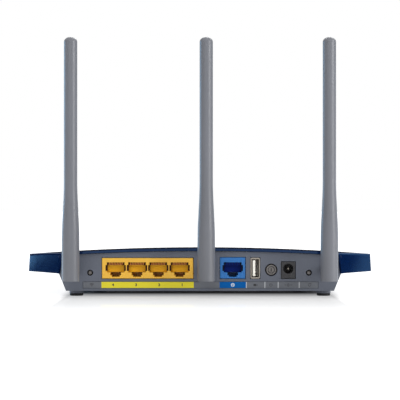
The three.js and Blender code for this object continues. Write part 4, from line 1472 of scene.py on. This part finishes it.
@dataclass
class PortLabels:
    """The printed strip under the sockets: colour fields, port numbers and plain symbols."""

    divider: float = 0.55 * MM
    usb_end: float = 6.4 * MM  # divider right of the USB socket's middle
    power_end: float = 4.5 * MM
    inlet_end: float = 7.2 * MM
    over: float = 0.35 * MM  # coloured fields past the sockets' sides
    digit_height: float = 1.75 * MM
    digit_pitch: float = 15.9 * MM

    def build(self) -> None:
        """Prints the strip."""
        dress(Finish.FILM, "port_label")
        dress(Finish.LABEL, "rating_label")
        for name, node, ink, slot in (
            ("yellow_field", "lan_jack_block", Finish.YELLOW_INK, "socket_yellow"),
            ("blue_field", "wan_jack", Finish.BLUE_INK, "socket_blue"),
        ):
            low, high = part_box(node)
            piece(name, self.patch(low.x - self.over, high.x + self.over), ink)
        lines = merged(self.patch(x, x + self.divider) for x in self.divider_places())
        piece("label_dividers", lines, Finish.PALE_INK)
        piece("port_numbers", merged(self.numbers()), Finish.INK)
        piece("port_symbols", merged(self.symbols()), Finish.INK)
        piece("port_symbol_white", merged(self.globe()), Finish.WHITE_INK)

    def patch(self, left: float, right: float) -> bmesh.types.BMesh:
        """Prints a field over the strip's whole height, between two places across the case."""
        low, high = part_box("port_label")
        front = low.y - INK_T / 2
        return brick(Vector((left, front, low.z)), Vector((right, low.y, high.z)))

    def divider_places(self) -> list[float]:
        """Gives the left side of each pale divider line."""
        ends = [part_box("wan_jack")[1].x + self.over]
        for node, reach in (
            ("usb_shell", self.usb_end),
            ("power_button", self.power_end),
            ("dc_jack", self.inlet_end),
        ):
            ends.append(centre_of(node).x + reach)
        return ends

    def face(self, x: float) -> Vector:
        """Gives the point of the strip's face at a place across the case."""
        low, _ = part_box("port_label")
        return Vector((x, low.y - INK_T, centre_of("port_label").z))

    def numbers(self) -> list[bmesh.types.BMesh]:
        """Makes the digits 4 to 1, one under each socket of the row."""
        middle = centre_of("lan_jack_block").x
        meshes = []
        for i, digit in enumerate("4321"):
            curve = bpy.data.curves.new("digit", "FONT")
            curve.body = digit
            curve.size = self.digit_height / 0.7
            curve.align_x = "CENTER"
            curve.align_y = "CENTER"
            curve.extrude = INK_T / 2
            curve.offset = 0.12 * MM
            spare = placed("digit", curve)
            graph = bpy.context.evaluated_depsgraph_get()
            flat = bpy.data.meshes.new_from_object(spare.evaluated_get(graph))
            bm = bmesh.new()
            bm.from_mesh(flat)
            at = self.face(middle + (i - 1.5) * self.digit_pitch) + Vector((0, INK_T / 2, 0))
            stand = Matrix.Translation(at) @ Matrix.Rotation(math.radians(90), 4, "X")
            bmesh.ops.transform(bm, matrix=stand, verts=bm.verts)
            meshes.append(bm)
            bpy.data.objects.remove(spare)
            bpy.data.curves.remove(curve)
            bpy.data.meshes.remove(flat)
        return meshes

    def symbols(self) -> list[bmesh.types.BMesh]:
        """Makes plain symbols: waves, a plug, on and off, polarity, and a turn-back arrow."""
        line = 0.3 * MM
        waves = self.face(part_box("port_label")[0].x + 6 * MM) - Vector((0, 0, 0.9 * MM))
        made = [arc_strip(waves, r - line, r, 45, 90, 12) for r in (0.9 * MM, 1.5 * MM, 2.1 * MM)]
        made.append(bar(waves + Vector((0, 0, 0.1 * MM)), 0.4 * MM, 0.4 * MM))
        plug = self.face(centre_of("usb_shell").x + 0.6 * MM)
        made.append(bar(plug - Vector((0.9 * MM, 0, 0)), 1.8 * MM, 1.5 * MM))
        made.append(bar(plug + Vector((0.6 * MM, 0, 0.45 * MM)), 1.1 * MM, line))
        made.append(bar(plug + Vector((0.6 * MM, 0, -0.45 * MM)), 1.1 * MM, line))
        switch = self.face(centre_of("power_button").x - 0.2 * MM)
        made.append(arc_strip(switch, 0.75 * MM, 1.05 * MM, 125, 290, 24))
        made.append(bar(switch + Vector((0, 0, 0.6 * MM)), line, 1.1 * MM))
        inlet = self.face(centre_of("dc_jack").x)
        made.append(arc_strip(inlet, 0.75 * MM, 1.05 * MM, 45, 270, 24))
        made.append(arc_strip(inlet, 0.05 * MM, 0.35 * MM, 0, 360, 16))
        made.append(bar(inlet + Vector((-2.1 * MM, 0, 0)), 1.1 * MM, line))
        made.append(bar(inlet + Vector((1.7 * MM, 0, 0)), 2.2 * MM, line))
        turn = self.face(centre_of("reset_button").x + 0.4 * MM)
        made.append(arc_strip(turn, 0.75 * MM, 1.05 * MM, 60, 300, 24))
        made.append(bar(turn + Vector((0.75 * MM, 0, 0.95 * MM)), 0.8 * MM, line))
        made.append(bar(turn + Vector((1.0 * MM, 0, 0.65 * MM)), line, 0.8 * MM))
        return made

    def globe(self) -> list[bmesh.types.BMesh]:
        """Makes a plain globe for the internet socket."""
        line = 0.26 * MM
        middle = self.face(centre_of("wan_jack").x)
        return [
            arc_strip(middle, 1.3 * MM - line, 1.3 * MM, 0, 360),
            arc_strip(middle - Vector((1.3 * MM, 0, 0)), 1.7 * MM, 1.7 * MM + line, -42, 84, 12),
            arc_strip(middle + Vector((1.3 * MM, 0, 0)), 1.7 * MM, 1.7 * MM + line, 138, 84, 12),
            bar(middle, 2.4 * MM, line),
        ]


# ------------------------------------------------------------------ aerials


@dataclass
class Aerial:
    """One aerial: threaded jack, nut, sleeve, knuckle, hinge pin and whip."""

    side: str
    fork_end: float = 6.3 * MM
    low_radius: float = 6.0 * MM
    top_radius: float = 4.5 * MM
    flare_start: float = 20.0 * MM
    flare_end: float = 62.0 * MM
    tip_height: float = 3.4 * MM
    tongue_radius: float = 4.2 * MM
    tongue_width: float = 5.0 * MM
    thread_radius: float = 3.1 * MM
    thread_pitch: float = 0.7056 * MM
    grips: int = 24

    def node(self, part: str) -> str:
        """Gives the name of one of this aerial's CAD nodes or bodies."""
        return f"antenna_{self.side}_{part}"

    @property
    def pivot(self) -> Vector:
        """The hinge pin's middle."""
        return centre_of(self.node("pin"))

    def build(self) -> None:
        """Builds the aerial's pieces."""
        self.whip()
        self.knuckle()
        self.nut()
        self.jack()
        self.pin()
        dress(Finish.BRASS, self.node("ferrule"), self.node("element"))
        dress(Finish.CABLE, self.node("lead"))

    def whip(self) -> None:
        """Turns the whip, rounds its lower end about the pivot, and cuts its fork."""
        low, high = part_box(self.node("whip"))
        pivot = self.pivot
        top = high.z - pivot.z
        steps = 14
        flare = []
        for i in range(steps + 1):
            t = i / steps
            ease = t * t * (3 - 2 * t)
            radius = self.low_radius + (self.top_radius - self.low_radius) * ease
            flare.append((radius, self.flare_start + (self.flare_end - self.flare_start) * t))
        tip = [
            (
                self.top_radius * math.cos(a),
                top - self.tip_height + self.tip_height * math.sin(a),
            )
            for a in (math.radians(d) for d in (0, 12, 24, 36, 48, 60, 72, 82))
        ]
        foot = low.z - pivot.z
        profile = [(0, foot), (self.low_radius, foot), *flare, *tip, (0, top)]
        body = turned(profile, Along.Z, pivot, 72)
        body = carve(body, self.end_rounding(pivot))
        half = self.tongue_width / 2 + 0.3 * MM
        slot = brick(
            Vector((pivot.x - half, pivot.y - self.tongue_radius - 0.4 * MM, low.z - 1 * MM)),
            Vector((pivot.x + half, high.y + 1 * MM, pivot.z + self.tongue_radius + 0.4 * MM)),
        )
        body = carve(body, slot)
        node = self.node("whip")
        piece(self.node("sheath"), body, Finish.AERIAL, node, [node], 40)

    def end_rounding(self, pivot: Vector) -> bmesh.types.BMesh:
        """Makes the cutter that rounds the lower end about the pivot, on the panel's side.

        Args:
            pivot: The hinge pin's middle.

        Returns:
            The cutter.
        """
        r = self.fork_end
        wide = 10 * MM
        arc = [
            Vector((0, r * math.sin(a), -r * math.cos(a)))
            for a in (math.pi / 2 * i / 16 for i in range(17))
        ]
        outline = [*arc, Vector((0, wide, 0)), Vector((0, wide, -wide)), Vector((0, 0, -wide))]
        start = pivot - Vector((wide, 0, 0))
        return extruded([start + p for p in outline], Vector((2 * wide, 0, 0)))

    def knuckle(self) -> None:
        """Builds the knuckle: a round hub behind the nut, and the tongue in the whip's fork."""
        low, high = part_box(self.node("knuckle"))
        pivot = self.pivot
        radius = (high.x - low.x) / 2
        hub_back = pivot.y + self.fork_end + 0.3 * MM
        length = high.y - hub_back
        hub = turned(
            [(0, 0), (radius - 0.4 * MM, 0), (radius, 0.4 * MM), (radius, length), (0, length)],
            Along.Y,
            Vector((pivot.x, hub_back, pivot.z)),
        )
        r = self.tongue_radius
        reach = hub_back + 0.4 * MM - pivot.y
        arc = [
            Vector((0, -r * math.sin(a), r * math.cos(a)))
            for a in (math.pi * i / 24 for i in range(25))
        ]
        outline = [Vector((0, reach, r)), *arc, Vector((0, reach, -r))]
        start = pivot - Vector((self.tongue_width / 2, 0, 0))
        tongue = extruded([start + p for p in outline], Vector((self.tongue_width, 0, 0)))
        mesh = merged([hub, bevel_edges(tongue, 0.25, 2, 50)])
        node = self.node("knuckle")
        piece(self.node("joint"), mesh, Finish.AERIAL, node, [node])

    def nut(self) -> None:
        """Turns the coupling nut and presses grips into it."""
        low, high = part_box(self.node("nut"))
        middle = centre_of(self.node("nut"))
        radius = (high.z - low.z) / 2
        length = high.y - low.y
        rim, wall, bore, neck = 0.6 * MM, 1.25 * MM, 3.4 * MM, 2.3 * MM
        profile = [
            (neck, 0),
            (radius - rim, 0),
            (radius, rim),
            (radius, 1.3 * MM),
            (radius, length - 1.3 * MM),
            (radius, length - rim),
            (radius - rim, length),
            (bore, length),
            (bore, wall),
            (neck, wall),
            (neck, 0),
        ]
        centre = Vector((middle.x, low.y, middle.z))
        bm = turned(profile, Along.Y, centre, self.grips * 8)
        bmesh.ops.subdivide_edges(
            bm,
            edges=[e for e in bm.edges if abs(e.verts[0].co.y - e.verts[1].co.y) > length / 3],
            cuts=2,
        )
        for vert in bm.verts:
            out = Vector((vert.co.x - centre.x, 0, vert.co.z - centre.z))
            inside = rim < vert.co.y - centre.y < length - rim
            if inside and out.length > radius - 0.1 * MM:
                angle = math.atan2(out.z, out.x)
                vert.co -= out.normalized() * 0.16 * MM * (1 - math.cos(self.grips * angle))
        node = self.node("nut")
        piece(self.node("nut_grip"), bm, Finish.AERIAL, node, [node])

    def jack(self) -> None:
        """Turns the threaded jack in the panel, with its thread's ridges."""
        low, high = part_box(self.node("jack"))
        middle = centre_of(self.node("jack"))
        start = Vector((middle.x, low.y, middle.z))
        r, root = self.thread_radius, self.thread_radius - 0.3 * MM
        inner, ring, flange = 1.6 * MM, 4.2 * MM, 1.6 * MM
        threads = 11
        ridges = []
        for i in range(threads):
            at = 0.3 * MM + i * self.thread_pitch
            crest = [(r, at + self.thread_pitch * share) for share in (0.45, 0.55)]
            ridges += [(root, at), *crest]
        barrel = 0.3 * MM + threads * self.thread_pitch
        profile = [
            (0, 5 * MM),
            (inner, 5 * MM),
            (inner, 0),
            (root, 0),
            *ridges,
            (r, barrel),
            (ring, barrel),
            (ring, barrel + flange),
            (1.3 * MM, barrel + flange),
            (1.3 * MM, high.y - low.y),
            (0, high.y - low.y),
        ]
        tip = [(0, 2.2), (0.35, 2.3), (0.45, 2.6), (0.45, 5.2), (0, 5.2)]  # in millimetres
        contact = turned([(a * MM, b * MM) for a, b in tip], Along.Y, start, 16)
        mesh = merged([turned(profile, Along.Y, start), contact])
        piece(self.node("threads"), mesh, Finish.BRASS, HOUSING, [self.node("jack")])

    def pin(self) -> None:
        """Turns the hinge pin with chamfered ends."""
        low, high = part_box(self.node("pin"))
        r = (high.z - low.z) / 2
        length = high.x - low.x
        chamfer = 0.2 * MM
        profile = [
            (0, 0),
            (r - chamfer, 0),
            (r, chamfer),
            (r, length - chamfer),
            (r - chamfer, length),
            (0, length),
        ]
        start = Vector((low.x, self.pivot.y, self.pivot.z))
        mesh = turned(profile, Along.X, start, 32)
        node, body = self.node("pin"), self.node("whip")
        piece(self.node("hinge_pin"), mesh, Finish.ZINC, body, [node])


# ------------------------------------------------------------------ inside


@dataclass
class Inside:
    """The board and what is on it, which show only through gaps."""

    def build(self) -> None:
        """Dresses the inner nodes."""
        dress(Finish.BOARD, "main_board")
        dress(Finish.CHIP, "processor", "memory_chip", "switch_chip", "lan_magnetics")
        dress(Finish.ALUMINIUM, "heat_sink", "capacitor")
        dress(Finish.NICKEL, "radio_shield")
        dress(Finish.CREAM, "led_strip")
        dress(Finish.GUIDE, "light_guide")


# ------------------------------------------------------------------ studio


@dataclass
class Studio:
    """A pale floor, soft lights, and the camera level with the aerials' lower half, from behind."""

    distance: float = 1.1
    height: float = 66.5 * MM
    field_width: float = 276.0 * MM
    sensor: float = 36.0
    mirror: float = 0.2  # share of the floor's light that it mirrors
    # The glow fields are painted light: floor emission that washes out the router's shadows, none
    # under the router's middle.
    glow: float = 0.9  # the sheet's light from below, to the router's left and right
    side_dark: tuple[float, float] = (0.085, 0.1)  # where that light starts and is full
    near_glow: float = 0.37  # the light just outside the panel's foot line and the front edge
    near_reach: tuple[float, float] = (-0.048, -0.008)  # outside those lines, where it rises
    far_glow: float = 0.33  # what is added further away
    far_reach: tuple[float, float] = (0.045, 0.2)
    walls: float = 0.012
    ceiling: float = 1.2
    ceiling_rise: tuple[float, float] = (0.12, 0.75)  # height of the view where it sets in
    sheet: str = "#b4b4b4"
    sheet_half: float = 8.0
    mirror_roughness: float = 0.05
    strip_size: tuple[float, float] = (0.7, 0.3)
    strip_away: float = 1.1  # from the wing to the strip that it mirrors
    strip_colour: str = "#8fd0ff"

    def build(self) -> None:
        """Sets the camera, the floor, the lights and the world."""
        self.camera()
        self.floor()
        self.world()
        self.lights()
        bpy.context.scene.view_settings.view_transform = "Standard"

    def camera(self) -> None:
        """Places the camera."""
        low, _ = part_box("bottom_case")
        lens = bpy.data.cameras.new("camera")
        lens.sensor_width = self.sensor
        lens.lens = self.sensor * self.distance / self.field_width
        lens.clip_start = 0.01
        lens.clip_end = 50
        made = placed("camera", lens)
        made.location = (0, low.y - self.distance, self.height)
        made.rotation_euler = (math.radians(90), 0, 0)
        bpy.context.scene.camera = made

    def floor(self) -> None:
        """Lays the floor: matt white with a faint, soft mirror, and a glow of painted light."""
        bm = bmesh.new()
        bmesh.ops.create_grid(bm, x_segments=1, y_segments=1, size=self.sheet_half)
        mesh = mesh_of(bm, "floor")
        material = bpy.data.materials.new("White acrylic sheet")
        material.use_nodes = True
        tree = material.node_tree
        tree.nodes.clear()
        white = (1, 1, 1, 1)
        matt = add_node(tree, "ShaderNodeBsdfDiffuse", inputs={"Color": linear(self.sheet)})
        inputs = {"Color": white, "Roughness": self.mirror_roughness}
        mirror = add_node(tree, "ShaderNodeBsdfGlossy", inputs=inputs)
        inputs = {"Fac": self.mirror, 1: matt.outputs["BSDF"], 2: mirror.outputs["BSDF"]}
        blend = add_node(tree, "ShaderNodeMixShader", inputs=inputs)
        # Emission as painted light that fills the router's shadows on the floor.
        inputs = {"Color": white, "Strength": self.painted_floor_glow(tree)}
        lit = add_node(tree, "ShaderNodeEmission", inputs=inputs)
        inputs = {0: blend.outputs["Shader"], 1: lit.outputs[0]}
        both = add_node(tree, "ShaderNodeAddShader", inputs=inputs)
        add_node(tree, "ShaderNodeOutputMaterial", inputs={"Surface": both.outputs["Shader"]})
        mesh.materials.append(material)
        placed("floor", mesh)

    def painted_floor_glow(self, tree: bpy.types.NodeTree) -> bpy.types.NodeSocket:
        """Gives the floor's glow, painted light: none under the router's middle, rising towards and
        past its edges to wash out its shadows.

        Args:
            tree: The floor's node tree.

        Returns:
            The strength's socket.
        """
        parts = add_node(tree, "ShaderNodeSeparateXYZ", inputs={"Vector": coordinates(tree)})
        x, y = parts.outputs["X"], parts.outputs["Y"]
        low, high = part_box("top_cover")
        behind = math_value(tree, "SUBTRACT", low.y, y)
        before = math_value(tree, "SUBTRACT", y, high.y)
        outside = math_value(tree, "MAXIMUM", behind, before)
        near = smooth_rise(tree, outside, self.near_reach, self.near_glow)
        far = smooth_rise(tree, outside, self.far_reach, self.far_glow)
        aside = math_value(tree, "ABSOLUTE", x)
        sideways = smooth_rise(tree, aside, self.side_dark, self.glow)
        return math_value(tree, "MAXIMUM", math_value(tree, "ADD", near, far), sideways)

    def world(self) -> None:
        """Fills the studio with light: a bright ceiling, and dim walls up to head height."""
        world = bpy.data.worlds.new("studio")
        world.use_nodes = True
        bpy.context.scene.world = world
        tree = world.node_tree
        tree.nodes.clear()
        way = coordinates(tree, "Generated")
        parts = add_node(tree, "ShaderNodeSeparateXYZ", inputs={"Vector": way})
        level = smooth_rise(tree, parts.outputs["Z"], self.ceiling_rise, self.ceiling, self.walls)
        seen = add_node(tree, "ShaderNodeLightPath").outputs["Is Camera Ray"]
        inputs = {"Color": (1, 1, 1, 1), "Strength": math_value(tree, "MAXIMUM", level, seen)}
        shade = add_node(tree, "ShaderNodeBackground", inputs=inputs)
        add_node(tree, "ShaderNodeOutputWorld", inputs={"Surface": shade.outputs["Background"]})

    def lights(self) -> None:
        """Hangs the soft boxes and the two strips that the wings mirror."""
        middle = Vector((0, 0, 0.05))
        self.soft_box("key", Vector((1.25, -0.75, 0.5)), middle, (0.6, 0.8), 10.5)
        self.soft_box("fill", Vector((-0.4, -2.0, 0.9)), middle, (1.2, 0.8), 4.0)
        self.soft_box("front", Vector((0.3, 1.6, 1.3)), middle, (1.4, 0.6), 12.0)
        self.wing_strip(-1, [(0.21, 1.0), (0.97, 0.3), (0.95, 0.95)], 3.4)
        self.wing_strip(1, [(0.45, 0.0), (0.97, 0.79), (0.95, 0.1)], 0.45)

    def soft_box(
        self, name: str, at: Vector, towards: Vector, size: tuple[float, float], watts: float
    ) -> None:
        """Hangs one rectangular soft box.

        Args:
            name: Its name.
            at: Where it hangs.
            towards: The point that it faces.
            size: Its width and height.
            watts: Its power.
        """
        turn = (towards - at).to_track_quat("-Z", "Y").to_matrix().to_4x4()
        self.lamp(name, Matrix.Translation(at) @ turn, size, watts)

    def wing_strip(self, side: int, marks: Sequence[tuple[float, float]], watts: float) -> None:
        """Hangs a strip light where one wing mirrors its edge as a slant across the wing.

        Args:
            side: -1 for the left wing, 1 for the right one.
            marks: Three places on the wing, from rear corner to tip and from lower to upper
                edge: the slant's two ends, and a place on its lit side.
            watts: Its power.
        """
        wing = TopCover().wing_face(side)
        eye = bpy.context.scene.camera.location
        rays = [mirrored_ray(wing, eye, *mark) for mark in marks]
        facing = sum((ray for _, ray in rays), Vector()).normalized()
        hub = rays[0][0] + facing * self.strip_away
        ends = [at + ray * (hub - at).dot(facing) / ray.dot(facing) for at, ray in rays]
        along = (ends[1] - ends[0]).normalized()
        across = facing.cross(along)
        if across.dot(ends[2] - ends[0]) < 0:
            across = -across
        middle = (ends[0] + ends[1]) / 2 + across * self.strip_size[1] / 2
        turn = Matrix((across.cross(facing), across, facing)).transposed().to_4x4()
        place = Matrix.Translation(middle) @ turn
        self.lamp(f"wing_strip_{side}", place, self.strip_size, watts, self.strip_colour)

    def lamp(
        self,
        name: str,
        place: Matrix,
        size: tuple[float, float],
        watts: float,
        colour: str = "#ffffff",
    ) -> bpy.types.Object:
        """Makes one rectangular area light.

        Args:
            name: Its name.
            place: Its place and turn.
            size: Its width and height.
            watts: Its power.
            colour: Its colour, sRGB hex.

        Returns:
            The light's object.
        """
        light = bpy.data.lights.new(name, "AREA")
        light.shape = "RECTANGLE"
        light.size, light.size_y = size
        light.energy = watts
        light.color = linear(colour)[:3]
        made = placed(name, light)
        made.matrix_world = place
        made.visible_camera = False
        LOG.info("%s hangs at %s", name, tuple(round(v, 3) for v in place.translation))
        return made


def mirrored_ray(
    wing: Sequence[Vector], eye: Vector, along: float, up: float
) -> tuple[Vector, Vector]:
    """Follows a line of sight to a wing and off it again.

    Args:
        wing: The wing face's lower rear, lower tip, upper rear and upper tip corners.
        eye: Where the line of sight starts.
        along: Place on the wing, from 0 at the rear corner to 1 at the tip.
        up: Place on the wing, from 0 at its lower edge to 1 at its upper one.

    Returns:
        The point on the wing, and the mirrored direction.
    """
    low_rear, low_tip, high_rear, high_tip = wing
    at = low_rear.lerp(low_tip, along).lerp(high_rear.lerp(high_tip, along), up)
    rise = high_rear.lerp(high_tip, along) - low_rear.lerp(low_tip, along)
    run = low_tip.lerp(high_tip, up) - low_rear.lerp(high_rear, up)
    normal = run.cross(rise).normalized()
    sight = (at - eye).normalized()
    return at, sight - 2 * sight.dot(normal) * normal


def main() -> None:
    """Builds the router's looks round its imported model."""
    logging.basicConfig(level=logging.INFO, format="%(name)s: %(message)s")
    FRAME.update(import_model())
    Studio().build()
    # Socket finishes: housing, carrier, comb and dark blocks; the colours of the last three hold
    # painted light and painted shade.
    yellow = (Finish.YELLOW, Finish.PAINTED_LIGHT_ORANGE, Finish.PAINTED_SHADE_TAN, Finish.PAINTED_SHADE_BROWN, "socket_yellow")
    blue = (Finish.BLUE, Finish.PAINTED_SHADE_NAVY, Finish.PAINTED_SHADE_NAVY, Finish.PAINTED_SHADE_BLUE_BLACK, "socket_blue")
    parts: list[tuple[str, Callable[[], None]]] = [
        ("top cover", TopCover().build),
        ("lower case", LowerCase().build),
        ("network sockets", ModularSockets("lan_jack_block", "lan_contacts", 4, *yellow).build),
        ("internet socket", ModularSockets("wan_jack", "wan_contacts", 1, *blue).build),
        ("USB socket", UsbSocket().build),
        ("power inlet", PowerInlet().build),
        ("buttons", Buttons().build),
        ("labels", PortLabels().build),
        ("inside", Inside().build),
        *((f"{side} aerial", Aerial(side).build) for side in SIDES),
    ]
    for name, build in parts:
        build()
        LOG.info("%s done", name)


if __name__ == "__main__":
    main()
